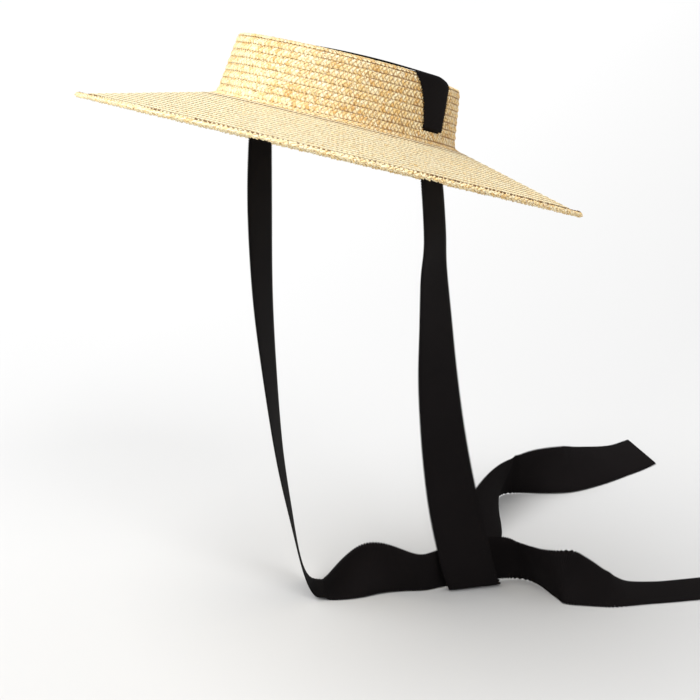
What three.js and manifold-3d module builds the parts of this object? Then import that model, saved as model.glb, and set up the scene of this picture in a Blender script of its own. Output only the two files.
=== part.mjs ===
// A flat-topped straw hat with a wide brim, sewn from narrow plait, and the long
// ribbon that passes over its crown, out through a slit at each side and down to
// a surface below, where both of its ends lie.
//
// Millimetres, +Z up. The origin is where the head sits: the middle of the mouth
// of the crown. The wearer looks along -Y and has +X at the left hand. The straw
// is built level, on its own axis, and then tilted back as it is worn.

import * as THREE from 'three';
import { mergeVertices } from 'three/addons/utils/BufferGeometryUtils.js';
import Module from 'manifold-3d';

const wasm = await Module();
wasm.setup();

// ---- driving dimensions ------------------------------------------------------

const TILT_BACK = 18;            // degrees, the front of the brim rises
const TILT_LEFT = 2.2;           // degrees, the wearer's left side drops

const SIDE_REACH = 89;           // axis to the foot of the crown, at the ears
const FRONT_REACH = 101;         // axis to the foot of the crown, at the brow
const STRAW = 2;                 // thickness of the sewn plait
const SEAT_GAP = 0.3;            // between touching pieces

const CROWN_HEIGHT = 48;         // foot of the crown to its flat top
const CROWN_TAPER = 7.7;         // how far the wall leans in over that height
const TIP_ROUND = 5;             // radius of the turn from wall to tip
const TIP_DOME = 3;              // rise of the tip at its middle

const BRIM_WIDTH = 103.5;        // in plan, foot of the crown to the outer edge
const BRIM_DROP = 26.5;          // fall of the brim over that width
const BRIM_TURN = 6;             // radius of the turn from crown to brim
const EDGE_WIDTH = 6;            // the last row, which is thicker
const EDGE_HEIGHT = 4;

const RIBBON_WIDTH = 45;
const RIBBON_THICK = 1;
const SLIT_WIDTH = 26;
const SLIT_HEIGHT = 3;
const SLIT_LEVEL = 7.7;          // middle of the slit above the foot of the crown
const SLIT_BACK = 4.5;           // how far each slit lies behind the ears
const TABLE_DROP = 430;          // the origin to the surface under the ribbon ends

const ROUND_STEPS = 64;          // facets round the hat
const MEAN_REACH = (SIDE_REACH + FRONT_REACH) / 2;

// ---- solids ------------------------------------------------------------------

function weld(geometry) {
  const bare = geometry.clone();
  bare.deleteAttribute('normal');
  bare.deleteAttribute('uv');
  return mergeVertices(bare, 1e-4);
}

function toManifold(geometry) {
  const welded = weld(geometry);
  return new wasm.Manifold(new wasm.Mesh({
    numProp: 3,
    vertProperties: new Float32Array(welded.attributes.position.array),
    triVerts: new Uint32Array(welded.index.array),
  }));
}

function fromManifold(solid) {
  const mesh = solid.getMesh();
  const geometry = new THREE.BufferGeometry();
  geometry.setAttribute('position', new THREE.BufferAttribute(mesh.vertProperties, 3));
  geometry.setIndex(new THREE.BufferAttribute(mesh.triVerts, 1));
  return geometry;
}

function meshOf(name, geometry, colour, roughness) {
  geometry.computeVertexNormals();
  const material = new THREE.MeshStandardMaterial({ color: colour, roughness, metalness: 0 });
  const mesh = new THREE.Mesh(geometry, material);
  mesh.name = name;
  return mesh;
}

const strawPiece = (name, geometry) => meshOf(name, geometry, 0xe3bf79, 0.6);
const ribbonPiece = (name, geometry) => meshOf(name, geometry, 0x17171a, 0.8);

// Turns a round solid into the oval of a head. Inside the mean reach it is
// stretched in proportion; outside, it is moved, so the brim keeps one width.
function ovalise(geometry) {
  const position = geometry.attributes.position;
  for (let i = 0; i < position.count; i += 1) {
    const x = position.getX(i);
    const y = position.getY(i);
    const reach = Math.max(Math.hypot(x, y), MEAN_REACH);
    position.setX(i, x * (1 + (SIDE_REACH - MEAN_REACH) / reach));
    position.setY(i, y * (1 + (FRONT_REACH - MEAN_REACH) / reach));
  }
  return geometry;
}

// Spins a closed loop of section points [reach, height], or one that starts and
// ends on the axis, round the crown. The loop runs anticlockwise.
function spun(section) {
  const points = section.map(([reach, height]) => new THREE.Vector2(reach, height));
  const lathe = new THREE.LatheGeometry(points, ROUND_STEPS);
  lathe.rotateX(Math.PI / 2);
  return ovalise(lathe);
}

// ---- the section of the straw ------------------------------------------------

// Wall and brim are straight in section. Their directions, and the two turns that
// join them to each other and to the tip, give every other point.
const wallLean = Math.atan2(CROWN_TAPER, CROWN_HEIGHT);
const brimFall = Math.atan2(BRIM_DROP, BRIM_WIDTH);
const wallUp = [-Math.sin(wallLean), Math.cos(wallLean)];
const wallOut = [Math.cos(wallLean), Math.sin(wallLean)];
const brimOut = [Math.cos(brimFall), -Math.sin(brimFall)];
const brimUp = [Math.sin(brimFall), Math.cos(brimFall)];
const crownFoot = [MEAN_REACH, 0];
const crownShoulder = [MEAN_REACH - CROWN_TAPER, CROWN_HEIGHT];

function moved(point, direction, distance) {
  return [point[0] + direction[0] * distance, point[1] + direction[1] * distance];
}

function arc(centre, radius, from, to, steps) {
  const points = [];
  for (let i = 0; i <= steps; i += 1) {
    const angle = from + (to - from) * i / steps;
    points.push([centre[0] + radius * Math.cos(angle), centre[1] + radius * Math.sin(angle)]);
  }
  return points;
}

const tipAngle = Math.PI / 2 - wallLean;
const tipTurnStart = moved(crownShoulder, wallUp, -TIP_ROUND * Math.tan(tipAngle / 2));
const tipCentre = moved(tipTurnStart, wallOut, -TIP_ROUND);
const tipFlatReach = tipCentre[0];

const brimAngle = Math.PI / 2 - wallLean - brimFall;
const brimTurnLength = BRIM_TURN * Math.tan(brimAngle / 2);
const brimTurnStart = moved(crownFoot, wallUp, brimTurnLength);
const brimCentre = moved(brimTurnStart, wallOut, BRIM_TURN);

// Height of the tip's upper face at a reach inside its rounded rim.
const tipHeight = (reach) => CROWN_HEIGHT + TIP_DOME * (1 - (reach / tipFlatReach) ** 2);

// Reach of the wall's outer face at a height, on the mean oval.
const wallReach = (height) => MEAN_REACH - CROWN_TAPER * height / CROWN_HEIGHT;

// ---- straw pieces ------------------------------------------------------------

// The flat top, with the first row of the side turned down over its edge.
function crownTip() {
  const turnSteps = 4;
  const domeSteps = 5;
  const outer = arc(tipCentre, TIP_ROUND, wallLean, Math.PI / 2, turnSteps);
  const inner = arc(tipCentre, TIP_ROUND - STRAW, Math.PI / 2, wallLean, turnSteps);
  const over = [];
  const under = [];
  for (let i = 1; i <= domeSteps; i += 1) {
    const reach = tipFlatReach * (1 - i / domeSteps);
    over.push([reach, tipHeight(reach)]);
    under.unshift([reach, tipHeight(reach) - STRAW]);
  }
  // The loop starts and ends on the axis, and goes under, round the rim and over.
  return spun([...under, ...inner, ...outer, ...over]);
}

// The side of the crown, with a slit near its foot at each ear.
function crownWall() {
  const top = moved(tipTurnStart, wallUp, -SEAT_GAP);
  const ring = spun([
    brimTurnStart,
    top,
    moved(top, wallOut, -STRAW),
    moved(brimTurnStart, wallOut, -STRAW),
    brimTurnStart,
  ]);
  const slitReach = SIDE_REACH - CROWN_TAPER * SLIT_LEVEL / CROWN_HEIGHT - STRAW / 2;
  let wall = toManifold(ring);
  for (const side of [-1, 1]) {
    const cutter = new THREE.BoxGeometry(STRAW * 6, SLIT_WIDTH, SLIT_HEIGHT);
    cutter.translate(side * slitReach, SLIT_BACK, SLIT_LEVEL);
    wall = wall.subtract(toManifold(cutter));
  }
  return fromManifold(wall);
}

// The brim, from its turn out of the crown to the seam of the edge row.
function brim() {
  const turnSteps = 3;
  const from = Math.PI + wallLean;
  const to = from + brimAngle;
  const seam = moved(crownFoot, brimOut, BRIM_WIDTH / Math.cos(brimFall) - EDGE_WIDTH);
  const outer = arc(brimCentre, BRIM_TURN, from, to, turnSteps);
  const inner = arc(brimCentre, BRIM_TURN + STRAW, from, to, turnSteps);
  outer[0] = moved(outer[0], wallUp, -SEAT_GAP);
  inner[0] = moved(inner[0], wallUp, -SEAT_GAP);
  const start = inner[0];
  return spun([...inner, moved(seam, brimUp, -STRAW), seam, ...outer.reverse(), start]);
}

// The last row, a rounded and thicker plait that binds the brim.
function brimEdge() {
  const start = BRIM_WIDTH / Math.cos(brimFall) - EDGE_WIDTH + SEAT_GAP;
  const middle = moved(
    moved(crownFoot, brimOut, start + (EDGE_WIDTH - SEAT_GAP) / 2),
    brimUp,
    -STRAW / 2,
  );
  const sides = 8;
  const loop = [];
  for (let i = 0; i <= sides; i += 1) {
    const angle = Math.PI * (2 * i + 1) / sides;
    const flat = Math.cos(Math.PI / sides);
    const along = Math.cos(angle) / flat * (EDGE_WIDTH - SEAT_GAP) / 2;
    const across = Math.sin(angle) / flat * EDGE_HEIGHT / 2;
    loop.push(moved(moved(middle, brimOut, along), brimUp, across));
  }
  return spun(loop);
}

// ---- ribbon ------------------------------------------------------------------

// Builds a flat strip through stations. Each station is a row of points across
// the ribbon; every point carries the normal on which the thickness is laid. Both
// faces are split along the same diagonals, so a twisted strip stays even.
function strip(stations) {
  const across = stations[0].length;
  const last = stations.length - 1;
  const corners = [];
  const faces = [];
  for (const row of stations) {
    for (const face of [1, -1]) {
      for (const { point, normal } of row) {
        corners.push(...point.clone().addScaledVector(normal, face * RIBBON_THICK / 2).toArray());
      }
    }
  }
  const front = (s, k) => s * across * 2 + k;
  const back = (s, k) => s * across * 2 + across + k;
  const quad = (a, b, c, d) => faces.push(a, c, b, a, d, c);
  for (let s = 0; s < last; s += 1) {
    for (let k = 0; k < across - 1; k += 1) {
      quad(front(s, k), front(s, k + 1), front(s + 1, k + 1), front(s + 1, k));
      quad(back(s, k), back(s + 1, k), back(s + 1, k + 1), back(s, k + 1));
    }
    const far = across - 1;
    quad(back(s, 0), front(s, 0), front(s + 1, 0), back(s + 1, 0));
    quad(front(s, far), back(s, far), back(s + 1, far), front(s + 1, far));
  }
  for (let k = 0; k < across - 1; k += 1) {
    quad(front(0, k), back(0, k), back(0, k + 1), front(0, k + 1));
    quad(front(last, k), front(last, k + 1), back(last, k + 1), back(last, k));
  }
  const geometry = new THREE.BufferGeometry();
  geometry.setAttribute('position', new THREE.Float32BufferAttribute(corners, 3));
  geometry.setIndex(faces);
  return geometry;
}

// Straight-line reading of a table by one of its columns.
function read(table, key, value, column) {
  const after = table.findIndex((row) => row[key] >= value);
  if (after < 0) {
    return table[table.length - 1][column];
  }
  if (after === 0) {
    return table[0][column];
  }
  const low = table[after - 1];
  const high = table[after];
  const share = (value - low[key]) / (high[key] - low[key]);
  return low[column] + (high[column] - low[column]) * share;
}

// The ribbon on the crown keeps its full width on the tip and is gathered down
// the wall towards the slit, which lies a little behind the ribbon's middle.
const GATHER = [
  { drop: 0, width: 45, back: 0 },
  { drop: 6, width: 41, back: 0.5 },
  { drop: 12, width: 34, back: 2.0 },
  { drop: 22, width: 29, back: 3.5 },
  { drop: 36, width: 24, back: 4.5 },
  { drop: 60, width: 22, back: SLIT_BACK },
];

const RIBBON_STAND = SEAT_GAP + RIBBON_THICK / 2;    // its middle above the straw
const RIBBON_BOW = 1.2;          // extra rise where it spans the tip
const SLIT_BEND = 1.6;           // radius of each bend at the slit, at its middle
const SLIT_EASE = 0.4;           // extra room between the ribbon and the inside of the wall

// The straw's outer line at the ears, as [distance from the axis, height], from the
// middle of the tip to just above the slit.
const atEar = ([reach, height]) => [reach * SIDE_REACH / MEAN_REACH, height];

function earLine(lowest) {
  const tipSteps = 8;
  const wallSteps = 8;
  const line = [];
  for (let i = 0; i < tipSteps; i += 1) {
    const reach = tipFlatReach * i / tipSteps;
    line.push(atEar([reach, tipHeight(reach)]));
  }
  line.push(...arc(tipCentre, TIP_ROUND, Math.PI / 2, wallLean, 5).map(atEar));
  const highest = tipTurnStart[1];
  for (let i = 1; i <= wallSteps; i += 1) {
    const height = highest + (lowest - highest) * i / wallSteps;
    line.push(atEar([wallReach(height), height]));
  }
  return line;
}

// The middle of the ribbon's thickness: a little off the straw, bowed where it
// spans the tip, then turned in through the slit and down inside the wall.
function ribbonLine() {
  const lowest = SLIT_LEVEL + SLIT_BEND;
  const straw = earLine(lowest);
  const line = straw.map(([x, height], i) => {
    const [backX, backHeight] = i > 0 ? straw[i - 1] : [-straw[1][0], straw[1][1]];
    const [nextX, nextHeight] = straw[Math.min(i + 1, straw.length - 1)];
    const run = Math.hypot(nextX - backX, nextHeight - backHeight);
    const bow = RIBBON_BOW * Math.max(0, 1 - (x / tipFlatReach) ** 2);
    return [
      x - (nextHeight - backHeight) / run * RIBBON_STAND,
      height + (nextX - backX) / run * RIBBON_STAND + bow,
    ];
  });
  const outside = line[line.length - 1][0];
  const inside = outside - STRAW - 2 * RIBBON_STAND - SLIT_EASE;
  const turnIn = arc([outside - SLIT_BEND, lowest], SLIT_BEND, 0, -Math.PI / 2, 3);
  const turnDown = arc([inside + SLIT_BEND, SLIT_LEVEL - SLIT_BEND], SLIT_BEND, Math.PI / 2, Math.PI, 3);
  line.push(...turnIn.slice(1), ...turnDown, [inside, SLIT_LEVEL - SLIT_BEND - 1]);
  return line;
}

// The whole ribbon over the crown: the same line to each side, bent round the
// oval of the crown across its width.
function crownRibbon() {
  const half = ribbonLine();
  const full = [
    ...half.slice(1).reverse().map(([x, height]) => [-x, height]),
    ...half,
  ];
  const columns = 6;
  const stations = full.map(([x, height], i) => {
    const [backX, backHeight] = full[Math.max(0, i - 1)];
    const [nextX, nextHeight] = full[Math.min(full.length - 1, i + 1)];
    const normal = new THREE.Vector3(backHeight - nextHeight, 0, nextX - backX).normalize();
    const drop = CROWN_HEIGHT + TIP_DOME - height;
    const width = read(GATHER, 'drop', drop, 'width');
    const back = read(GATHER, 'drop', drop, 'back');
    const side = wallReach(height) * SIDE_REACH / MEAN_REACH;
    const front = wallReach(height) * FRONT_REACH / MEAN_REACH;
    const bend = Math.sign(x) * Math.min(1, (x / side) ** 2);
    const row = [];
    for (let k = 0; k <= columns; k += 1) {
      const y = back + width * (k / columns - 0.5);
      const sag = side * (1 - Math.sqrt(1 - (y / front) ** 2));
      row.push({ point: new THREE.Vector3(x - bend * sag, y, height), normal });
    }
    return row;
  });
  return strip(stations);
}

// A hanging end, as sections from the crown down to the cut end, in the upright
// frame. x and y place the ribbon's middle and low is the height of its lower
// selvedge above the table. turn is the plan direction from one selvedge to the
// other, and lean is how steeply that line falls (-) or rises (+), in degrees.
const LEFT_END = [
  { x: 84.4, y: 5.7, low: 426.2, turn: 91, lean: -18, width: 22 },
  { x: 85, y: 7.5, low: 414, turn: 95, lean: -16, width: 26 },
  { x: 87.5, y: 10, low: 388, turn: 103, lean: -9, width: 37 },
  { x: 86, y: 16, low: 349, turn: 108, lean: -2, width: 44 },
  { x: 80.5, y: 23, low: 319, turn: 106, lean: 0, width: 45 },
  { x: 74, y: 34, low: 277, turn: 99, lean: 0, width: 45 },
  { x: 63, y: 50, low: 225, turn: 88, lean: 0, width: 45 },
  { x: 52, y: 70, low: 172, turn: 80, lean: 0, width: 45 },
  { x: 43, y: 91, low: 122, turn: 68, lean: 0, width: 45 },
  { x: 36, y: 110, low: 81, turn: 56, lean: 0, width: 45 },
  { x: 31, y: 126, low: 47, turn: 49, lean: 3, width: 45 },
  { x: 29, y: 138, low: 18, turn: 50, lean: 4, width: 45 },
  { x: 28, y: 147.5, low: 3, turn: 54, lean: 2, width: 45 },
  { x: 19, y: 156, low: 0.6, turn: 56, lean: 0, width: 45 },
  { x: -3, y: 178, low: 0.6, turn: 53, lean: 0, width: 45 },
  { x: -25, y: 208, low: 0.6, turn: 46, lean: -10, width: 45 },
  { x: -43, y: 249, low: 0.6, turn: 38, lean: -41, width: 45 },
  { x: -68, y: 300, low: 0.6, turn: 37, lean: -80, width: 45 },
  { x: -84, y: 333, low: 0.6, turn: 29, lean: -106, width: 45 },
  { x: -89, y: 348, low: 0.6, turn: 1, lean: -108, width: 45 },
  { x: -83, y: 357, low: 0.6, turn: -38, lean: -103, width: 45 },
  { x: -77, y: 366, low: 0.6, turn: -50, lean: -94, width: 45 },
  { x: -69, y: 378, low: 0.6, turn: -46, lean: -82, width: 45 },
  { x: -60, y: 395, low: 0.6, turn: -36, lean: -69, width: 45 },
  { x: -58, y: 407, low: 0.6, turn: -24, lean: -58, width: 45 },
  { x: -57, y: 426, low: 0.6, turn: -12, lean: -46, width: 45 },
  { x: -56, y: 448, low: 0.6, turn: -6, lean: -36, width: 45 },
  { x: -56, y: 473, low: 0.6, turn: -4, lean: -26, width: 45 },
  { x: -55, y: 497, low: 0.6, turn: -4, lean: -19, width: 45 },
  { x: -56, y: 526, low: 0.6, turn: -3, lean: -15, width: 45 },
];
const RIGHT_END = [
  { x: -84.1, y: 5.8, low: 432.8, turn: 91, lean: -18, width: 22 },
  { x: -84.6, y: 5.5, low: 421, turn: 93, lean: -16, width: 24 },
  { x: -86.5, y: 5, low: 395, turn: 99, lean: -8, width: 33 },
  { x: -88.5, y: 6, low: 340, turn: 106, lean: -2, width: 42 },
  { x: -90, y: 10, low: 270, turn: 113, lean: 0, width: 45 },
  { x: -89.5, y: 17, low: 200, turn: 120, lean: 0, width: 45 },
  { x: -87, y: 25, low: 130, turn: 127, lean: 0, width: 45 },
  { x: -84, y: 36, low: 70, turn: 133, lean: 0, width: 45 },
  { x: -81, y: 45, low: 26, turn: 137, lean: 0, width: 45 },
  { x: -77, y: 53, low: 5, turn: 139, lean: 0, width: 45 },
  { x: -69, y: 62, low: 0.6, turn: 140, lean: 0, width: 45 },
  { x: -54, y: 74, low: 0.6, turn: 142, lean: 30, width: 45 },
  { x: -32, y: 88, low: 0.6, turn: 147, lean: 78, width: 45 },
  { x: -7, y: 101, low: 0.6, turn: 154, lean: 112, width: 45 },
  { x: 5, y: 115, low: 0.8, turn: 160, lean: 110, width: 45 },
  { x: 12, y: 136, low: 1.8, turn: 158, lean: 101, width: 45 },
  { x: 23, y: 160, low: 1.8, turn: 148, lean: 99, width: 45 },
  { x: 36, y: 177, low: 1.4, turn: 134, lean: 105, width: 45 },
  { x: 47, y: 185, low: 0.6, turn: 111, lean: 113, width: 45 },
  { x: 57, y: 185, low: 0.6, turn: 86, lean: 113, width: 45 },
  { x: 69, y: 182, low: 0.6, turn: 75, lean: 110, width: 45 },
  { x: 84, y: 178, low: 0.6, turn: 78, lean: 102, width: 45 },
  { x: 97, y: 179, low: 0.6, turn: 88, lean: 86, width: 45 },
  { x: 103, y: 188, low: 0.6, turn: 101, lean: 53, width: 45 },
  { x: 114, y: 202, low: 0.6, turn: 113, lean: 28, width: 45 },
  { x: 125, y: 212, low: 0.6, turn: 126, lean: 17, width: 45 },
  { x: 131, y: 221, low: 0.6, turn: 138, lean: 10, width: 45 },
  { x: 139, y: 233, low: 0.6, turn: 143, lean: 3, width: 45 },
  { x: 156, y: 255, low: 0.6, turn: 145, lean: 0, width: 45 },
  { x: 169, y: 273, low: 0.6, turn: 146, lean: 0, width: 45 },
  { x: 187, y: 300, low: 0.6, turn: 148, lean: 0, width: 45 },
  { x: 205, y: 332, low: 0.6, turn: 150, lean: 0, width: 45 },
  { x: 221, y: 364, low: 0.6, turn: 152, lean: 0, width: 45 },
];

// Each cut end slants: this far short of square at one selvedge and past it at the
// other.
const LEFT_CUT = -6;
const RIGHT_CUT = 9;

function hangingEnd(sections, slant) {
  const stepsPerSection = 4;
  const places = new THREE.CatmullRomCurve3(
    sections.map((row) => new THREE.Vector3(row.x, row.y, row.low)),
    false,
    'catmullrom',
    0.5,
  );
  const poses = new THREE.CatmullRomCurve3(
    sections.map((row) => new THREE.Vector3(row.turn, row.lean, row.width)),
    false,
    'catmullrom',
    0.5,
  );
  const count = (sections.length - 1) * stepsPerSection;
  const lines = [];
  for (let i = 0; i <= count; i += 1) {
    const place = places.getPoint(i / count);
    const pose = poses.getPoint(i / count);
    const turn = THREE.MathUtils.degToRad(pose.x);
    const lean = THREE.MathUtils.degToRad(pose.y);
    const across = new THREE.Vector3(
      Math.cos(turn) * Math.cos(lean),
      Math.sin(turn) * Math.cos(lean),
      Math.sin(lean),
    );
    const height = place.z - TABLE_DROP + Math.abs(across.z) * pose.z / 2;
    lines.push({
      middle: new THREE.Vector3(place.x, place.y, height),
      across,
      half: pose.z / 2,
    });
  }
  const stations = lines.map((line, i) => {
    const before = lines[Math.max(0, i - 1)].middle;
    const after = lines[Math.min(count, i + 1)].middle;
    const run = after.clone().sub(before).normalize();
    const normal = new THREE.Vector3().crossVectors(run, line.across).normalize();
    const cut = i === count ? slant : 0;
    return [-1, 0, 1].map((side) => ({
      point: line.middle.clone()
        .addScaledVector(line.across, side * line.half)
        .addScaledVector(run, side * cut),
      normal,
    }));
  });
  return strip(stations);
}

// ---- the object --------------------------------------------------------------

const hat = new THREE.Group();
hat.rotation.order = 'YXZ';
hat.rotation.set(
  THREE.MathUtils.degToRad(-TILT_BACK),
  THREE.MathUtils.degToRad(TILT_LEFT),
  0,
);
hat.add(
  strawPiece('crown_tip', crownTip()),
  strawPiece('crown_wall', crownWall()),
  strawPiece('brim', brim()),
  strawPiece('brim_edge', brimEdge()),
  ribbonPiece('crown_ribbon', crownRibbon()),
);

const whole = new THREE.Group();
whole.add(
  hat,
  ribbonPiece('left_tie', hangingEnd(LEFT_END, LEFT_CUT)),
  ribbonPiece('right_tie', hangingEnd(RIGHT_END, RIGHT_CUT)),
);

export default whole;
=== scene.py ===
"""The looks of a wide-brim straw sun hat: plaited straw sewn in rows, and a long grosgrain ribbon."""

import math

import bpy
import numpy as np
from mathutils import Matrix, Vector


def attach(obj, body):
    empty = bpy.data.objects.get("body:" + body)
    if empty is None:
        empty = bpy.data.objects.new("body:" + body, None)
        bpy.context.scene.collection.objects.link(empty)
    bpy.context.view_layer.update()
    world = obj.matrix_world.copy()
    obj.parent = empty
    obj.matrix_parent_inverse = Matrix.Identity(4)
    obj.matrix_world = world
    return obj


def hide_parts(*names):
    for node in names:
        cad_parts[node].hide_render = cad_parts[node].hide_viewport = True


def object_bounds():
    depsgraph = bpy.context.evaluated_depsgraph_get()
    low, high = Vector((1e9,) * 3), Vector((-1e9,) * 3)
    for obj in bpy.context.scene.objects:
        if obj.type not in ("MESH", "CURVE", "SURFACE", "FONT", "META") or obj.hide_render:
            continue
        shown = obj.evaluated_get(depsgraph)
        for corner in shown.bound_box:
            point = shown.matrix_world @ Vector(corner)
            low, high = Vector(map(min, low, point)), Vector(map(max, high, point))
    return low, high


bl_info = {
    "name": "Straw sun hat",
    "version": (1, 0, 0),
    "blender": (4, 5, 0),
    "location": "3D View > Sidebar > Sun hat",
    "description": "Builds the plaited straw and the ribbon of a wide-brim sun hat round its packed model",
    "category": "Add Mesh",
}

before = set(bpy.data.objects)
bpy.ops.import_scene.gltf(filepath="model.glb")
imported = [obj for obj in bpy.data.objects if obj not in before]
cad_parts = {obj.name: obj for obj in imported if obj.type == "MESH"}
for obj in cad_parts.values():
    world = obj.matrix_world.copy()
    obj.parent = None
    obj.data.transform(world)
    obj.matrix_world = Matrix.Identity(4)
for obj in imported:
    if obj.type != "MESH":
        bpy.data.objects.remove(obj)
CAD_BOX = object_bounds()
BAKE_MAP = "OFBake"  # the name of the map that each piece brings for its textures
MM = 0.001


# ---------------------------------------------------------------- sizes and colours


def length(name, description, default):
    """A size property in metres."""
    return bpy.props.FloatProperty(
        name=name, description=description, default=default, unit="LENGTH", precision=5
    )


def angle(name, description, degrees):
    """An angle property, given in degrees."""
    return bpy.props.FloatProperty(
        name=name, description=description, default=math.radians(degrees), unit="ROTATION"
    )


def factor(name, description, default):
    """A plain number property."""
    return bpy.props.FloatProperty(name=name, description=description, default=default)


def count(name, description, default):
    """A whole number property."""
    return bpy.props.IntProperty(name=name, description=description, default=default)


def colour(name, description, default):
    """A colour property, linear."""
    return bpy.props.FloatVectorProperty(
        name=name, description=description, default=default, subtype="COLOR", size=3, min=0, max=1
    )


class HatShape(bpy.types.PropertyGroup):
    """Sizes of the hat's own section, and how the hat is pressed and worn."""

    side_reach: length("Side reach", "Outside of the crown's foot from the axis, at the ears", 0.089)
    front_reach: length("Front reach", "Outside of the crown's foot from the axis, in front", 0.101)
    crown_height: length("Crown height", "From the foot of the crown to its shoulder", 0.048)
    crown_taper: length("Crown taper", "How far the shoulder lies inside the foot", 0.0062)
    tip_round: length("Tip round", "Radius of the crown's top edge", 0.0046)
    tip_dome: length("Tip dome", "How far the flat top swells", 0.0026)
    sag: length("Sag", "How far the shoulder is pressed down behind the wearer's left ear", 0.0027)
    sag_turn: angle("Sag turn", "Where it is pressed down, turning back from the wearer's left", 40)
    sag_start: length("Sag start", "How far from the axis the sag begins", 0.0665)
    sag_run: length("Sag run", "Over how far the sag grows", 0.011)
    brim_width: length("Brim width", "From the crown's foot to the rim, level", 0.1035)
    brim_wider: length("Brim wider", "How much wider the hand-sewn brim is at its widest", 0.005)
    wider_turn: angle("Wider turn", "Where it is widest, turning back from the wearer's left", 41)
    brim_drop: length("Brim drop", "How far the rim hangs below the crown's foot", 0.0265)
    brim_turn: length("Brim turn", "Radius where the crown turns into the brim", 0.006)
    wall: length("Wall", "Two layers of plait", 0.002)
    edge_width: length("Edge width", "The rim's thick row, across", 0.006)
    edge_height: length("Edge height", "The rim's thick row, up and down", 0.004)
    tilt_back: angle("Tilt back", "How far the hat is tipped back", 18)
    tilt_left: angle("Tilt left", "How far the hat is tipped to the wearer's left", 2.2)


class PlaitSizes(bpy.types.PropertyGroup):
    """Sizes of the straw plait and how its rows are sewn."""

    pitch: length("Pitch", "Length of plait from one crossing to the next alike", 0.0035)
    lane: length("Lane", "From one lane of crossings to the next, across the plait", 0.00192)
    lanes: count("Lanes", "Crossings across the plait", 4)
    edge_pitch: length("Edge pitch", "The pitch of the coarser plait that is folded over the rim", 0.0048)
    edge_lanes: count("Edge lanes", "Crossings round the plait that is folded over the rim", 6)
    rise: length("Rise", "How far a strand rises over the one it crosses", 0.0004)
    brim_rise: length("Brim rise", "The same on the brim, which is pressed flatter", 0.00017)
    edge_rise: length("Edge rise", "The same on the plait that is folded over the rim", 0.0009)
    bulge: length("Bulge", "How far each row is rounded off towards its seams", 0.00055)
    row: length("Row", "How much of each row shows", 0.0057)
    tuck: length("Tuck", "How far the plait's end lies under the last row", 0.0011)
    lean: factor("Lean", "Slope of a row, which lays its outer edge over the next row", 0.11)
    brim_lean: factor("Brim lean", "The same on the brim, which is pressed flatter", 0.085)
    back_share: factor("Back share", "Share of a turn, at the back, in which the spiral steps out", 0.24)
    wave: length("Wave", "Length over which the plait's width and pitch wander", 0.018)
    uneven: length("Unevenness", "How far the plait wanders along its row", 0.006)
    seed: count("Seed", "Seed for the straw's colours", 7)


class RibbonSizes(bpy.types.PropertyGroup):
    """Sizes of the ribbon and of the slits it passes through."""

    width: length("Width", "Width of the ribbon", 0.045)
    thick: length("Thickness", "Thickness between the ribs", 0.00045)
    rib: length("Rib", "From one cross rib to the next", 0.00095)
    rib_height: length("Rib height", "How far a rib stands out on each face", 0.00013)
    picot: length("Picot", "How far every second rib loops out at the selvedges", 0.0014)
    slit_width: length("Slit width", "Unsewn length between two rows at each ear", 0.027)
    slit_level: length("Slit level", "Height of the slits over the crown's foot", 0.0068)
    slit_back: length("Slit back", "How far behind the ears the slits lie", 0.0058)
    stand: length("Stand", "Ribbon's middle over the straw", 0.00055)
    bow: length("Bow", "Rise of the ribbon over the middle of the tip", 0.0007)


class StitchSizes(bpy.types.PropertyGroup):
    """Sizes of the stitches that hold the rim row."""

    pitch: length("Stitch pitch", "From one stitch to the next", 0.0036)
    long: length("Stitch length", "Length of one stitch", 0.0028)
    wide: length("Thread", "Thickness of the thread", 0.0011)
    stand: length("Stitch stand", "How far the thread's middle lies over the straw", 0.0008)
    place: factor("Place", "Degrees round the rim row from its inner side, up over its top", 78)
    wander: factor("Wander", "How far the stitches lie askew", 0.15)


class Finishes(bpy.types.PropertyGroup):
    """Colours of the straw, the thread and the ribbon."""

    # Painted highlight: whitish flecks of this colour are mixed into the straw's colour to stand for glinting
    # light.
    straw_painted_glint: colour("Straw glint", "The shiny skin of the straw where it is whitest", (1.0, 0.96, 0.80))
    straw_pale: colour("Pale straw", "The palest strands", (0.97, 0.86, 0.56))
    straw_mid: colour("Straw", "Most strands", (0.90, 0.685, 0.32))
    straw_gold: colour("Golden straw", "Riper strands", (0.74, 0.42, 0.11))
    # Brown for knots, and also for the painted shade at the seams and where strands go under.
    straw_knots_and_shade: colour("Brown flecks", "Bruises and knots", (0.26, 0.115, 0.028))
    # The rim's stitches in this thread also stand in for the shadow line along the rim row's seam.
    thread: colour("Thread", "Brown sewing thread", (0.13, 0.066, 0.026))
    ribbon: colour("Ribbon", "Black grosgrain", (0.0043, 0.0035, 0.0036))
    # Dust and a painted highlight: the ribs' crests are given this lighter colour.
    ribbon_crest: colour("Ribbon crest", "Where the ribs catch dust and light", (0.0095, 0.0078, 0.0080))


class SunHat(bpy.types.PropertyGroup):
    """Everything a user would change."""

    shape: bpy.props.PointerProperty(type=HatShape, name="Shape", description="The hat's section")
    plait: bpy.props.PointerProperty(type=PlaitSizes, name="Plait", description="The straw plait")
    ribbon: bpy.props.PointerProperty(type=RibbonSizes, name="Ribbon", description="The ribbon")
    stitch: bpy.props.PointerProperty(type=StitchSizes, name="Stitches", description="The rim's stitches")
    finish: bpy.props.PointerProperty(type=Finishes, name="Finish", description="Colours")


# ---------------------------------------------------------------- node helpers


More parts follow.
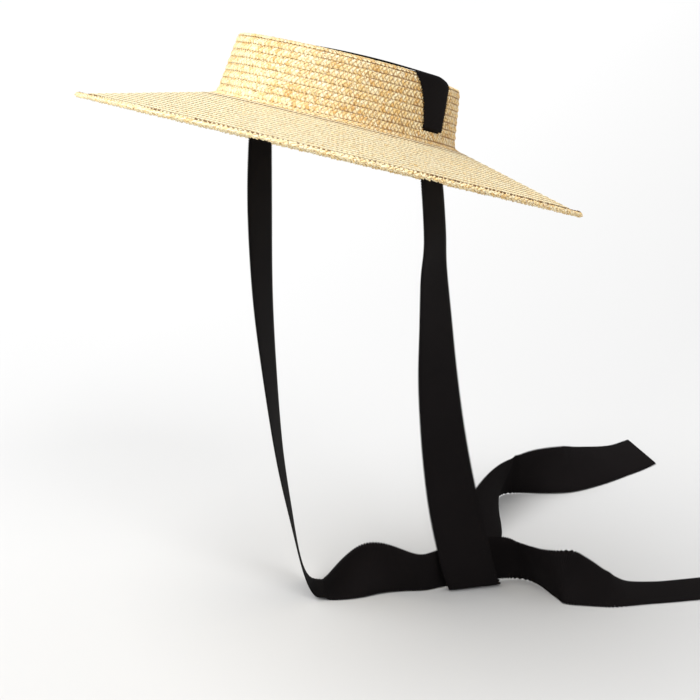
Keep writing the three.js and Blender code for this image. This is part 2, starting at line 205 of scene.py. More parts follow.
class Value:
    """A value in a node tree, which is added and multiplied as a number is."""

    def __init__(self, build, socket):
        self.build = build
        self.socket = socket

    def __add__(self, other):
        return self.build.math("ADD", self, other)

    def __sub__(self, other):
        return self.build.math("SUBTRACT", self, other)

    def __rsub__(self, other):
        return self.build.math("SUBTRACT", other, self)

    def __mul__(self, other):
        return self.build.math("MULTIPLY", self, other)

    def __truediv__(self, other):
        return self.build.math("DIVIDE", self, other)


class Tree:
    """A node tree that is written as sums."""

    def __init__(self, tree):
        self.tree = tree

    def add(self, kind, inputs=None, **settings):
        """A node with its settings made and its inputs filled or linked, by name or number."""
        node = self.tree.nodes.new(kind)
        for key, value in settings.items():
            setattr(node, key, value)
        for key, value in (inputs or {}).items():
            if isinstance(key, str):
                socket = next(s for s in node.inputs if s.name == key and s.enabled)
            else:
                socket = node.inputs[key]
            self.put(socket, value)
        return node

    def put(self, socket, value):
        """Links an input, or sets its value. A colour's three numbers make it opaque."""
        if isinstance(value, Value):
            self.tree.links.new(value.socket, socket)
        elif socket.type == "RGBA":
            socket.default_value = (*value, 1)
        else:
            socket.default_value = value

    def out(self, node, output=None):
        """A node's output that is in use: its first, or the one of this name."""
        found = next(s for s in node.outputs if s.enabled and output in (None, s.name))
        return Value(self, found)

    def take(self, kind, inputs=None, output=None, **settings):
        """The output of a new node."""
        return self.out(self.add(kind, inputs, **settings), output)

    def math(self, operation, *values):
        """A sum of numbers."""
        return self.take("ShaderNodeMath", dict(enumerate(values)), operation=operation)

    def vector(self, operation, *values):
        """A sum of vectors."""
        return self.take("ShaderNodeVectorMath", dict(enumerate(values)), operation=operation)

    def join(self, x=0.0, y=0.0, z=0.0):
        """Three numbers as a vector."""
        return self.take("ShaderNodeCombineXYZ", {0: x, 1: y, 2: z})

    def split(self, vector):
        """A vector's three numbers."""
        node = self.add("ShaderNodeSeparateXYZ", {0: vector})
        return [Value(self, socket) for socket in node.outputs]

    def turn(self, vector, angle, axis):
        """A vector turned about X, Y or Z."""
        given = {"Vector": vector, "Angle": angle}
        return self.take("ShaderNodeVectorRotate", given, rotation_type=axis + "_AXIS")

    def clamp(self, value, low, high):
        """A number kept between two others."""
        return self.take("ShaderNodeClamp", {0: value, 1: low, 2: high})

    def fade(self, value, start, stop, low=0.0, high=1.0, **settings):
        """A number that goes from low to high while another goes from start to stop."""
        given = {0: value, 1: start, 2: stop, 3: low, 4: high}
        return self.take("ShaderNodeMapRange", given, **settings)

    def noise(self, vector, scale, detail, output=None):
        """Soft noise."""
        given = {"Vector": vector, "Scale": scale, "Detail": detail}
        return self.take("ShaderNodeTexNoise", given, output)

    def random(self, seed, kind="FLOAT", **number):
        """A random value for each point, or for each number given as ID."""
        return self.take("FunctionNodeRandomValue", {"Seed": seed, **number}, data_type=kind)

    def named(self, name, kind="FLOAT"):
        """An attribute of the geometry."""
        return self.take("GeometryNodeInputNamedAttribute", {"Name": name}, data_type=kind)

    def store(self, geometry, name, value, kind="FLOAT", domain="POINT"):
        """Keeps a value as an attribute."""
        given = {"Geometry": geometry, "Name": name, "Value": value}
        return self.take("GeometryNodeStoreNamedAttribute", given, data_type=kind, domain=domain)

    def realized(self, geometry):
        """Instances made real."""
        return self.take("GeometryNodeRealizeInstances", {"Geometry": geometry})

    def curve(self, mesh):
        """A chain of edges as a curve."""
        return self.take("GeometryNodeMeshToCurve", {"Mesh": mesh})

    def copy_of(self, item):
        """An object's geometry, ready to be repeated."""
        given = {"Object": item, "As Instance": True}
        return self.take("GeometryNodeObjectInfo", given, "Geometry")


SOCKETS = {int: "Int", float: "Float"}


def group_tree(name, kind, inputs, outputs):
    """A new node group, a function that gives its inputs by name, and its output node.

    An input is told by its kind, or by its usual value where that is a number.
    """
    tree = bpy.data.node_groups.new(name, kind)
    for label, value in inputs.items():
        sort = SOCKETS.get(type(value), value)
        made = tree.interface.new_socket(label, in_out="INPUT", socket_type=f"NodeSocket{sort}")
        if sort != value:
            made.default_value = value
    for label, sort in outputs.items():
        tree.interface.new_socket(label, in_out="OUTPUT", socket_type=f"NodeSocket{sort}")
    build = Tree(tree)
    start = build.add("NodeGroupInput")

    def given(label):
        return build.out(start, label)

    return build, given, build.add("NodeGroupOutput")


def finish_tree(build, end, geometry, material):
    """Ends a geometry tree with real meshes that have their material."""
    made = {"Geometry": build.realized(geometry), "Material": material}
    build.put(end.inputs["Geometry"], build.take("GeometryNodeSetMaterial", made))
    return build.tree


# ---------------------------------------------------------------- meshes


def new_mesh(name, points, faces=(), edges=()):
    """A linked object with a mesh of the given points."""
    mesh = bpy.data.meshes.new(name)
    mesh.from_pydata([tuple(p) for p in points], [tuple(e) for e in edges], [tuple(f) for f in faces])
    mesh.update()
    piece = bpy.data.objects.new(name, mesh)
    bpy.context.scene.collection.objects.link(piece)
    return piece


def new_path(name, points, closed=False):
    """A linked object with a chain of edges through the given points."""
    last = len(points) - 1
    edges = [(i, i + 1) for i in range(last)] + [(last, 0)] * closed
    return new_mesh(name, points, edges=edges)


def set_attribute(mesh, name, values, kind="FLOAT", domain="POINT"):
    """Stores an array as a mesh attribute."""
    made = mesh.attributes.new(name, kind, domain)
    key = "vector" if kind == "FLOAT_VECTOR" else "value"
    made.data.foreach_set(key, np.asarray(values).ravel())


def drop(*objects):
    """Removes helpers and their meshes."""
    for item in objects:
        mesh = item.data
        bpy.data.objects.remove(item)
        bpy.data.meshes.remove(mesh)


def run_nodes(tool, tree, values, name):
    """Runs a geometry tree on a helper, with inputs set by their names, and returns a plain mesh."""
    modifier = tool.modifiers.new(tree.name, "NODES")
    modifier.node_group = tree
    for item in tree.interface.items_tree:
        if item.in_out == "INPUT" and item.name in values:
            modifier[item.identifier] = values[item.name]
    graph = bpy.context.evaluated_depsgraph_get()
    mesh = bpy.data.meshes.new_from_object(tool.evaluated_get(graph))
    mesh.name = name
    piece = bpy.data.objects.new(name, mesh)
    bpy.context.scene.collection.objects.link(piece)
    return piece


def smooth(x):
    """Eases from 0 to 1."""
    x = np.clip(x, 0.0, 1.0)
    return x * x * (3 - 2 * x)


def running_sum(steps):
    """How far along a line each of its points lies, from the steps between them."""
    return np.concatenate([[0], np.cumsum(steps)])


def lengths_along(points):
    """How far along a line each of its points lies."""
    return running_sum(np.linalg.norm(np.diff(points, axis=0), axis=1))


# ---------------------------------------------------------------- the hat's section


DOME_POINTS, ARC_POINTS, WALL_POINTS, BRIM_POINTS, RIM_POINTS = 25, 13, 5, 9, 49  # of each stretch
RIM_GAP = 0.3 * MM  # between the end of the brim and the thick row round it


def arc(centre, radius, start, stop):
    """Points of an arc, from one angle to another."""
    turn = np.linspace(start, stop, ARC_POINTS)
    return centre + radius * np.stack([np.cos(turn), np.sin(turn)], 1)


class Section:
    """The outer face of the hat from the middle of the tip to the seam of its edge."""

    def __init__(self, shape):
        reach = (shape.side_reach + shape.front_reach) / 2
        lean = math.atan2(shape.crown_taper, shape.crown_height)
        fall = math.atan2(shape.brim_drop, shape.brim_width)
        wall_up = np.array([-math.sin(lean), math.cos(lean)])
        wall_out = np.array([math.cos(lean), math.sin(lean)])
        self.brim_out = np.array([math.cos(fall), -math.sin(fall)])
        self.brim_up = np.array([math.sin(fall), math.cos(fall)])
        foot = np.array([reach, 0.0])
        shoulder = np.array([reach - shape.crown_taper, shape.crown_height])
        tip_angle = math.pi / 2 - lean
        tip_start = shoulder - wall_up * shape.tip_round * math.tan(tip_angle / 2)
        tip_centre = tip_start - wall_out * shape.tip_round
        brim_angle = tip_angle - fall
        brim_start = foot + wall_up * shape.brim_turn * math.tan(brim_angle / 2)
        brim_centre = brim_start + wall_out * shape.brim_turn
        self.flat_reach = tip_centre[0]
        self.mean_reach = reach
        self.taper = shape.crown_taper / shape.crown_height
        self.oval = (shape.front_reach - shape.side_reach) / 2
        self.seam = foot + self.brim_out * (shape.brim_width / math.cos(fall) - shape.edge_width)
        out = np.linspace(0, 1, DOME_POINTS)[:, None]
        swell = shape.crown_height + shape.tip_dome * (1 - out * out)
        brim_turn = arc(brim_centre, shape.brim_turn, math.pi + lean, math.pi + lean + brim_angle)
        self.points = np.vstack([
            np.hstack([self.flat_reach * out, swell]),
            arc(tip_centre, shape.tip_round, math.pi / 2, lean)[1:],
            tip_start + (brim_start - tip_start) * np.linspace(0, 1, WALL_POINTS)[1:-1, None],
            brim_turn,
            brim_turn[-1] + (self.seam - brim_turn[-1]) * np.linspace(0, 1, BRIM_POINTS)[1:, None],
        ])
        self.along = lengths_along(self.points)
        self.shoulder_along = self.at_height(tip_start[1])
        self.foot_along = self.at_height(brim_start[1])
        self.length = self.along[-1]

    def at_height(self, height):
        """How far along the section the crown's wall reaches this height."""
        return float(np.interp(-height, -self.points[:, 1], self.along))

    def reach(self, along):
        """Mean reach of the outer face from the axis."""
        return np.interp(along, self.along, self.points[:, 0])

    def axes(self, reach):
        """Half the width and half the depth of the oval at a mean reach."""
        ratio = self.oval / np.maximum(reach, self.mean_reach)
        return reach * (1 - ratio), reach * (1 + ratio)


def ring_section(section, shape):
    """The closed outline of the thick row on the rim, starting on its inner side."""
    centre = section.seam + section.brim_out * (shape.edge_width + RIM_GAP) / 2
    centre = centre - section.brim_up * shape.wall / 2
    turn = np.linspace(0, 2 * math.pi, RIM_POINTS)[:, None]
    across = -np.cos(turn) * section.brim_out * (shape.edge_width - RIM_GAP) / 2
    return centre + across + np.sin(turn) * section.brim_up * shape.edge_height / 2


# ---------------------------------------------------------------- the plait


EDGE_FILL = 0.85  # how far the outer notches are filled, as a share of a lane
EDGE_TRIM = 0.1  # how far the outermost points are drawn in, as a share of a lane
UNIT_MARKS = ("lane", "phase", "way", "under")  # what each face of a unit belongs to


def fold_out(point, lane, lanes):
    """Draws the plait's edges out to the folds of its outer strands, which fill the notches."""
    x, y, z = point
    beyond = abs(y) / lane - (lanes - 1) / 2
    move = np.interp(beyond, (-1, 0, 1), (0, EDGE_FILL, -EDGE_TRIM)) * lane
    return (x, y + math.copysign(move, y), z)


def plait_unit(name, pitch, lane, lanes, rise):
    """One pitch of flat plait: a closed cell for each crossing, arched where its upper strand is."""
    points, faces, marks = [], [], []
    for number in range(lanes):
        way = number % 2
        x = pitch * (1 + way) / 2
        y = lane * (number - (lanes - 1) / 2)
        side = -lane if way else lane
        west, east = (x - pitch / 2, y, 0), (x + pitch / 2, y, 0)
        north, south = (x, y + side, 0), (x, y - side, 0)
        w, s, e, n, wn, se, ws, ne = range(len(points), len(points) + 8)
        points += [west, south, east, north]
        for a, b, z in ((west, north, rise), (south, east, rise), (west, south, -rise), (north, east, -rise)):
            points.append(((a[0] + b[0]) / 2, (a[1] + b[1]) / 2, z))
        # the upper strand's faces, the lower strand's faces, then the flanks of each
        made = [
            (w, s, se, wn), (wn, se, e, n), (w, n, ne, ws), (ws, ne, e, s),
            (w, ws, s), (e, ne, n), (w, wn, n), (s, e, se),
        ]
        faces += [face[::-1] if way else face for face in made]
        marks += [(number, way, way ^ under, under) for under in (0, 0, 1, 1, 1, 1, 0, 0)]
    unit = new_mesh(name, [fold_out(point, lane, lanes) for point in points], faces)
    for key, values in zip(UNIT_MARKS, zip(*marks)):
        set_attribute(unit.data, key, [float(value) for value in values], domain="FACE")
    arches = ((4, 5), (6, 7))
    sharp = [tuple(sorted(v % 8 for v in edge.vertices)) not in arches for edge in unit.data.edges]
    set_attribute(unit.data, "sharp_edge", sharp, kind="BOOLEAN", domain="EDGE")
    return unit


MAP_ROOM, MAP_SIDES = 0.25, 1.6  # room on the texture map: before each length in pitches, beside it in lanes
OWN_TINT = 0.65  # the share of a crossing's tint that is its own and not its strand's
ACROSS_SHARE = 0.12  # how much of the plait's wandering goes across it
LEAST_RISE, RISE_SPREAD = 0.55, 0.9  # how high each strand lies, as shares of the usual rise
BARED = 13 * MM  # how much less of a row lies in painted seam shade, for each share by which it is drawn down
TIP_HOLE = 0.2 * MM  # no point of the plait comes nearer to the middle of the tip


def sewing_tree():
    """Geometry nodes that lay a flat plait unit by unit and sew it along a path on the hat."""
    build, given, end = group_tree(
        "Sewn plait",
        "GeometryNodeTree",
        {
            "Geometry": "Geometry", "Unit": "Object", "Section": "Object", "Material": "Material",
            "Pitches": 10, "Pitch": 0.0035, "Lane": 0.00145, "Lanes": 5, "Depth": 0.0003,
            "Lean": 0.13, "Oval": 0.006, "Mean Reach": 0.095, "Tilt Back": 0.3, "Tilt Left": 0.04,
            "Bake Columns": 40, "Wave": 90.0, "Uneven": 0.003, "Proud": 3.7, "Row": 0.0054,
            "Bulge": 0.0005, "Wider": 0.0, "Wider Turn": 0.7, "Seed": 7,
        },
        {"Geometry": "Geometry"},
    )
    pitch, lane, seed = given("Pitch"), given("Lane"), given("Seed")
    unit_number, phase, way = build.named("unit"), build.named("phase"), build.named("way")
    path = build.curve(given("Geometry"))
    outline = {"Object": given("Section")}
    outline = build.take("GeometryNodeObjectInfo", outline, "Geometry", transform_space="ORIGINAL")
    outline = build.curve(outline)
    line = {"Count": given("Pitches"), "Offset": build.join(pitch)}
    line = build.take("GeometryNodeMeshLine", line, mode="OFFSET")
    line = build.store(line, "unit", build.take("GeometryNodeInputIndex"))
    flat = {"Points": line, "Instance": build.copy_of(given("Unit"))}
    flat = build.realized(build.take("GeometryNodeInstanceOnPoints", flat))
    place = build.take("GeometryNodeInputPosition")
    x, y, z = build.split(place)

    # colours: each strand keeps one tint along its way through the plait
    crossings = unit_number * 2.0 + phase
    turned = way * 2.0 - 1.0
    strand = (build.named("lane") * turned + crossings) * 2.0 + way
    tint = build.random(seed, ID=strand)
    own = build.random(seed, ID=crossings * 16.0 + build.named("lane"))
    flat = build.store(flat, "tint", (own - tint) * OWN_TINT + tint, domain="FACE")
    flat = build.store(flat, "lift", z / given("Depth"))

    # along and across each strand, for its fibres
    slant = build.math("ARCTAN2", lane, pitch * 0.5) * turned
    along, across, _ = build.split(build.turn(place, slant, "Z"))
    fibre = build.join(along, across, strand)
    flat = build.store(flat, "fibre", fibre, kind="FLOAT_VECTOR", domain="CORNER")

    # the map for its textures: the flat plait cut in lengths, both faces side by side
    columns = given("Bake Columns")
    column = build.math("MODULO", unit_number, columns)
    band = build.math("FLOOR", unit_number / columns)
    bands = build.math("CEIL", given("Pitches") / columns)
    inside = (x - unit_number * pitch) / pitch
    u = (column + inside + MAP_ROOM) / (columns + 1.0)
    v = y / (lane * (given("Lanes") + MAP_SIDES)) + 0.5 + build.named("under")
    spot = build.join(u, (v * 0.5 + band) / bands)
    flat = build.store(flat, BAKE_MAP, spot, kind="FLOAT2", domain="CORNER")

    # hand-made unevenness: slow waves along and across the plait, and strands that lie high or low
    wave = build.noise(build.join(x, seed), given("Wave"), 1.0, "Color")
    wave = build.split(build.vector("SUBTRACT", wave, (0.5, 0.5, 0.5)))
    x = wave[0] * given("Uneven") + x
    y = wave[1] * (given("Uneven") * ACROSS_SHARE) + y
    z = z * (own * RISE_SPREAD + LEAST_RISE)

    # where the plait is sewn: turn, station and how far the row is drawn aside
    sewn = {"Curves": path, "Value": build.named("sewn", "FLOAT_VECTOR"), "Length": x}
    sewn = build.take(
        "GeometryNodeSampleCurve", sewn, "Value", data_type="FLOAT_VECTOR", mode="LENGTH"
    )
    turn, station, drawn = build.split(sewn)
    drawn_up = build.math("MAXIMUM", drawn, 0.0)
    drawn_down = build.math("MINIMUM", drawn, 0.0)
    # across sets where the painted seam shade falls on a row; a row drawn down under a slit is moved out of
    # it
    flat = build.store(flat, "across", drawn_down * -BARED + y, domain="CORNER")
    half = lane * (given("Lanes") * 0.5 + 0.5)
    y = y - (half + y) * drawn_up - (half - y) * drawn_down
    station = build.math("MAXIMUM", station + y, TIP_HOLE)
    touch = build.add(
        "GeometryNodeSampleCurve", {"Curves": outline, "Length": station}, mode="LENGTH"
    )
    face = build.split(build.out(touch, "Position"))
    run = build.split(build.out(touch, "Tangent"))

    # how deep it lies: its lean, which a row under a slit loses, and its rounding at the seams
    deep = given("Lean") * (half - y) * (drawn_down * given("Proud") + 1.0)
    shown = given("Row") * 0.5
    off = (y - half + shown) / shown
    deep = given("Bulge") * build.math("MINIMUM", off * off, 1.0) + deep
    stand = z - given("Depth") - deep
    height = run[0] * stand + face[2]
    reach = face[0] - run[2] * stand

    # round the oval, with the brim wider on one side, and tipped as the hat is worn
    toward = build.math("COSINE", turn - given("Wider Turn"))
    toward = build.math("MAXIMUM", toward, 0.0) * given("Wider")
    on_brim = build.math("MAXIMUM", reach - given("Mean Reach"), 0.0)
    reach = toward * on_brim + reach
    ratio = given("Oval") / build.math("MAXIMUM", reach, given("Mean Reach"))
    at = build.join(
        reach * (1.0 - ratio) * build.math("COSINE", turn),
        reach * (ratio + 1.0) * build.math("SINE", turn),
        height,
    )
    at = build.turn(at, given("Tilt Back") * -1.0, "X")
    at = build.turn(at, given("Tilt Left"), "Y")
    worn = build.take("GeometryNodeSetPosition", {"Geometry": flat, "Position": at})
    return finish_tree(build, end, worn, given("Material"))


LEAST_STITCH, STITCH_SPREAD = 0.55, 0.7  # how big each stitch is, as shares of its usual size
LEAST_STITCH_SWELL, MOST_STITCH_SWELL = 0.3, 1.15  # how far a stitch shrinks or swells, at random and towards the side of painted shade


def stitch_tree():
    """Geometry nodes that set stitches along a path at an even pitch, each a little askew."""
    build, given, end = group_tree(
        "Stitches",
        "GeometryNodeTree",
        {
            "Geometry": "Geometry", "Unit": "Object", "Material": "Material", "Tight Side": "Vector",
            "Pitch": 0.0036, "Wander": 0.1, "Slack": 30.0, "Seed": 7,
        },
        {"Geometry": "Geometry"},
    )
    seed, wander = given("Seed"), given("Wander")
    spots = {"Curve": build.curve(given("Geometry")), "Length": given("Pitch")}
    spots = build.add("GeometryNodeCurveToPoints", spots, mode="LENGTH")
    askew = build.vector("SUBTRACT", build.random(seed, "FLOAT_VECTOR"), (0.5, 0.5, 0.5))
    askew = build.vector("MULTIPLY", askew, build.join(wander, wander, wander))
    along = build.vector("ADD", build.out(spots, "Tangent"), askew)
    way = build.take("FunctionNodeAlignRotationToVector", {"Vector": along}, axis="X")
    # stitches differ in size at random, and are bigger towards one side, where these dark stitches also stand
    # for the shadow line along the rim row
    where = build.take("GeometryNodeInputPosition")
    stitch_swell = build.noise(where, given("Slack"), 1.0) * 2.4 - 0.4
    stitch_swell = stitch_swell + build.vector("DOT_PRODUCT", where, given("Tight Side"))
    stitch_swell = build.clamp(stitch_swell, LEAST_STITCH_SWELL, MOST_STITCH_SWELL)
    size = (build.random(seed) * STITCH_SPREAD + LEAST_STITCH) * stitch_swell
    made = {
        "Points": build.out(spots, "Points"),
        "Instance": build.copy_of(given("Unit")),
        "Rotation": way,
        "Scale": build.join(size, size, size),
    }
    made = build.take("GeometryNodeInstanceOnPoints", made)
    return finish_tree(build, end, made, given("Material"))


def stitch_unit(name, sizes):
    """One stitch: a closed, round-ended length of thread."""
    rings, around = ((-1, 0.35), (-0.8, 0.85), (0, 1), (0.8, 0.85), (1, 0.35)), 6
    points, faces = [], []
    for place, thick in rings:
        half = thick * sizes.wide / 2
        for turn in np.arange(around) * 2 * math.pi / around:
            points.append((place * sizes.long / 2, math.cos(turn) * half, math.sin(turn) * half))
    last = (len(rings) - 1) * around
    for first in range(0, last, around):
        for number in range(around):
            a, b = first + number, first + (number + 1) % around
            faces.append((a + around, b + around, b, a))
    faces.append(tuple(range(around)))
    faces.append(tuple(range(last + around - 1, last - 1, -1)))
    return new_mesh(name, points, faces)


def sew(hat, section, name, path, outline, weave, finish):
    """Makes one piece of plait that follows a path, and returns it as a plain mesh."""
    lengths, places, pitches, pitch = path
    lanes, lane = weave
    material, rise, lean, bulge = finish
    shape, sizes = hat.shape, hat.plait
    tool = new_path(name + "_path", [(s, 0, 0) for s in lengths])
    set_attribute(tool.data, "sewn", places, kind="FLOAT_VECTOR")
    profile = new_path(name + "_section", [(r, 0, z) for r, z in outline])
    unit = plait_unit(name + "_unit", pitch, lane, lanes, rise)
    values = {
        "Unit": unit,
        "Section": profile,
        "Pitches": pitches,
        "Pitch": pitch,
        "Lane": lane,
        "Lanes": lanes,
        "Depth": rise,
        "Lean": lean,
        "Row": sizes.row,
        "Bulge": bulge,
        "Wider": shape.brim_wider / shape.brim_width,
        "Wider Turn": shape.wider_turn,
        "Oval": section.oval,
        "Mean Reach": section.mean_reach,
        "Tilt Back": shape.tilt_back,
        "Tilt Left": shape.tilt_left,
        "Bake Columns": max(1, round(math.sqrt(pitches * pitch * 2 * lane * (lanes + 1)) / pitch)),
        "Wave": 1 / sizes.wave,
        "Uneven": sizes.uneven,
        "Seed": sizes.seed,
        "Material": material,
    }
    tree = bpy.data.node_groups.get("Sewn plait") or sewing_tree()
    piece = run_nodes(tool, tree, values, name)
    drop(tool, profile, unit)
    press(piece, shape)
    for spare in ("unit", *UNIT_MARKS):
        if spare in piece.data.attributes:
            piece.data.attributes.remove(piece.data.attributes[spare])
    return piece


SHORT_ROW = 0.3  # a first row that is narrower than this share of a step is left out


def row_plan(section, sizes, ribbon):
    """How the spiral runs: the first row's station, the step of the rows, their number, the slit's row."""
    half = sizes.lane * (sizes.lanes + 1) / 2
    last = section.length - half
    slit = section.at_height(ribbon.slit_level) - half + sizes.row
    below = max(1, round((last - slit) / sizes.row))
    step = (last - slit) / below
    above = int(slit / step)
    first = slit - above * step
    if first < SHORT_ROW * step:
        first += step
        above -= 1
    return first, step, above + below + 1, above


TURN_STEPS = 240  # places at which each turn of the spiral is worked out
DRAW_UP, DRAW_DOWN = 0.2, 0.38  # how far the rows over and under a slit are drawn together
SLIT_EASE = 3 * MM  # the length over which the rows part at a slit's ends
SLIT_INSIDE = 1.5 * MM  # how far inside the slit's ends the row over it starts to part
SLIT_OUTSIDE = 2 * MM  # how far outside them the row under it does


def row_path(section, sizes, ribbon, plan, rows):
    """The sewing path over some rows: lengths, (turn, station, drawn) at each, pitches and their length."""
    first, step, last, slit_row = plan
    start, stop = rows
    turns = np.arange(start * TURN_STEPS, stop * TURN_STEPS + TURN_STEPS // 4) / TURN_STEPS
    row = np.floor(turns).astype(int)
    part = turns - row
    # each row keeps its station, apart from the step to the next one at the back
    half = sizes.back_share / 2
    shift = 0.5 * smooth((part - 1 + half) / half) - 0.5 * (1 - smooth(part / half))
    shift = np.where((row >= last) | (row == last - 1) & (part > 0.5), 0.0, shift)
    station = first + step * (np.minimum(row, last - 1) + shift)
    turn = math.pi / 2 + turns * 2 * math.pi
    wide, deep = section.axes(section.reach(np.maximum(station, sizes.lane)))
    speed = np.hypot(wide * np.sin(turn), deep * np.cos(turn)) * 2 * math.pi / TURN_STEPS
    lengths = running_sum((speed[1:] + speed[:-1]) / 2)
    beyond = ribbon.slit_width / 2 - np.abs(np.sin(turn) * deep - ribbon.slit_back)
    over = DRAW_UP * smooth((beyond - SLIT_INSIDE) / SLIT_EASE)
    under = -DRAW_DOWN * smooth((beyond + SLIT_OUTSIDE) / SLIT_EASE)
    drawn = np.where(row == slit_row - 1, over, np.where(row == slit_row, under, 0.0))
    whole = lengths[round((stop - start) * TURN_STEPS)]
    pitches = round(whole / sizes.pitch)
    ends = whole + sizes.pitch
    keep = lengths < ends
    lengths, places = lengths[keep], np.stack([turn, station, drawn], 1)[keep]
    tail = places[-1] + (places[-1] - places[-2]) * (ends - lengths[-1]) / (lengths[-1] - lengths[-2])
    return np.append(lengths, ends), np.vstack([places, tail]), pitches, whole / pitches


# ---------------------------------------------------------------- materials


def fibre_group():
    """Shader group: fine lines along a fibre, slow clouds, and a height for bumps."""
    found = bpy.data.node_groups.get("Fibre grain")
    if found:
        return found
    build, given, end = group_tree(
        "Fibre grain",
        "ShaderNodeTree",
        {"Vector": "Vector", "Lines": 3000.0, "Run": 150.0, "Cloud": 40.0},
        {"Line": "Float", "Cloud": "Float", "Height": "Float"},
    )
    x, y, z = build.split(given("Vector"))
    line = build.noise(build.join(x * given("Run"), y * given("Lines"), z), 1.0, 2.0)
    place = build.take("ShaderNodeTexCoord", output="Object")
    cloud = build.noise(place, given("Cloud"), 3.0)
    for label, value in (("Line", line), ("Cloud", cloud), ("Height", cloud * 0.2 + line)):
        build.put(end.inputs[label], value)
    return build.tree


def new_material(name):
    """An empty node material with its surface shader, and the shader."""
    material = bpy.data.materials.new(name)
    material.use_nodes = True
    material.node_tree.nodes.clear()
    build = Tree(material.node_tree)
    shader = build.add("ShaderNodeBsdfPrincipled")
    out = build.add("ShaderNodeOutputMaterial")
    build.put(out.inputs["Surface"], build.out(shader))
    return material, build, shader


def attribute(build, name, output="Fac"):
    """An attribute of the piece."""
    return build.take("ShaderNodeAttribute", output=output, attribute_name=name)


def grain(build, vector, sizes):
    """The fibre grain's lines, clouds and height."""
    given = {"Vector": vector, **dict(zip(("Lines", "Run", "Cloud"), sizes))}
    node = build.add("ShaderNodeGroup", given, node_tree=fibre_group())
    return [build.out(node, label) for label in ("Line", "Cloud", "Height")]


def ramp(build, value, *stops):
    """A colour ramp."""
    node = build.add("ShaderNodeValToRGB", {"Fac": value})
    elements = node.color_ramp.elements
    while len(elements) < len(stops):
        elements.new(0.5)
    for element, (place, tone) in zip(elements, stops):
        element.position = place
        element.color = (*tone, 1) if hasattr(tone, "__len__") else (tone, tone, tone, 1)
    return build.out(node, "Color")


def mix(build, amount, a, b):
    """Blends two colours."""
    given = {"Factor": amount, "A": a, "B": b}
    return build.take("ShaderNodeMix", given, "Result", data_type="RGBA")


def cover(build, shader, tone, rough, height, strength, depth):
    """Gives a shader its colour and roughness, and bumps of this strength and depth."""
    bump = {"Strength": strength, "Distance": depth, "Height": height}
    build.put(shader.inputs["Base Color"], tone)
    build.put(shader.inputs["Roughness"], rough)
    build.put(shader.inputs["Normal"], build.take("ShaderNodeBump", bump))


# Each grain: how fine its lines are across and along the fibre, and how fine its clouds are.
STRAW_GRAIN, RIBBON_GRAIN, THREAD_GRAIN = (4200.0, 260.0, 22.0), (900.0, 4500.0, 18.0), (2600.0, 2600.0, 60.0)
PAINTED_SHADE_SIDE = (0.55, 0.48, 0.0)  # painted shade: the straw is made golden and darker by this much in a metre, towards the back left, the side turned from the key light
SEAM_SHIFT = 7 * MM  # how much wider the painted shade at a seam is where the painted side shade is greater by 1
PATCH_SCALE = 70.0  # noise that breaks up the painted shade at the seams


def painted_seam_shade(build, place, painted_side_shade, lift, seam, near):
    """Painted shade: how dark the straw's colour is made where its row slips under the next one, where the
    shadow at the seam falls.

    seam holds its strength and the distances across the plait at which it begins and is full.
    near holds its strength next to the crown, how much wider it is there, the mean reach up to
    which that holds, the reach at which it ends, and the oval's share of the reach.
    """
    strength, clear, full = seam
    across, extra = attribute(build, "across"), 0.0
    if near:
        most, wider, begin, stop, oval = near
        reach = build.vector("LENGTH", build.vector("MULTIPLY", place, (1 + oval, 1 - oval, 1)))
        next_crown = build.fade(reach, begin, stop, 1.0, 0.0)
        strength = next_crown * (most - strength) + strength
        across = next_crown * -wider + across
        extra = next_crown * 0.8
    across = painted_side_shade * -SEAM_SHIFT + across
    dark = build.fade(across, clear, full, interpolation_type="SMOOTHSTEP") * strength
    broken = build.noise(place, PATCH_SCALE, 2.0) - 0.5
    patch = build.clamp(broken * 2.2 + (painted_side_shade * 4.5 + 0.55) + extra, 0.1, 1.0)
    return dark * build.fade(lift, -0.5, -0.1) * patch


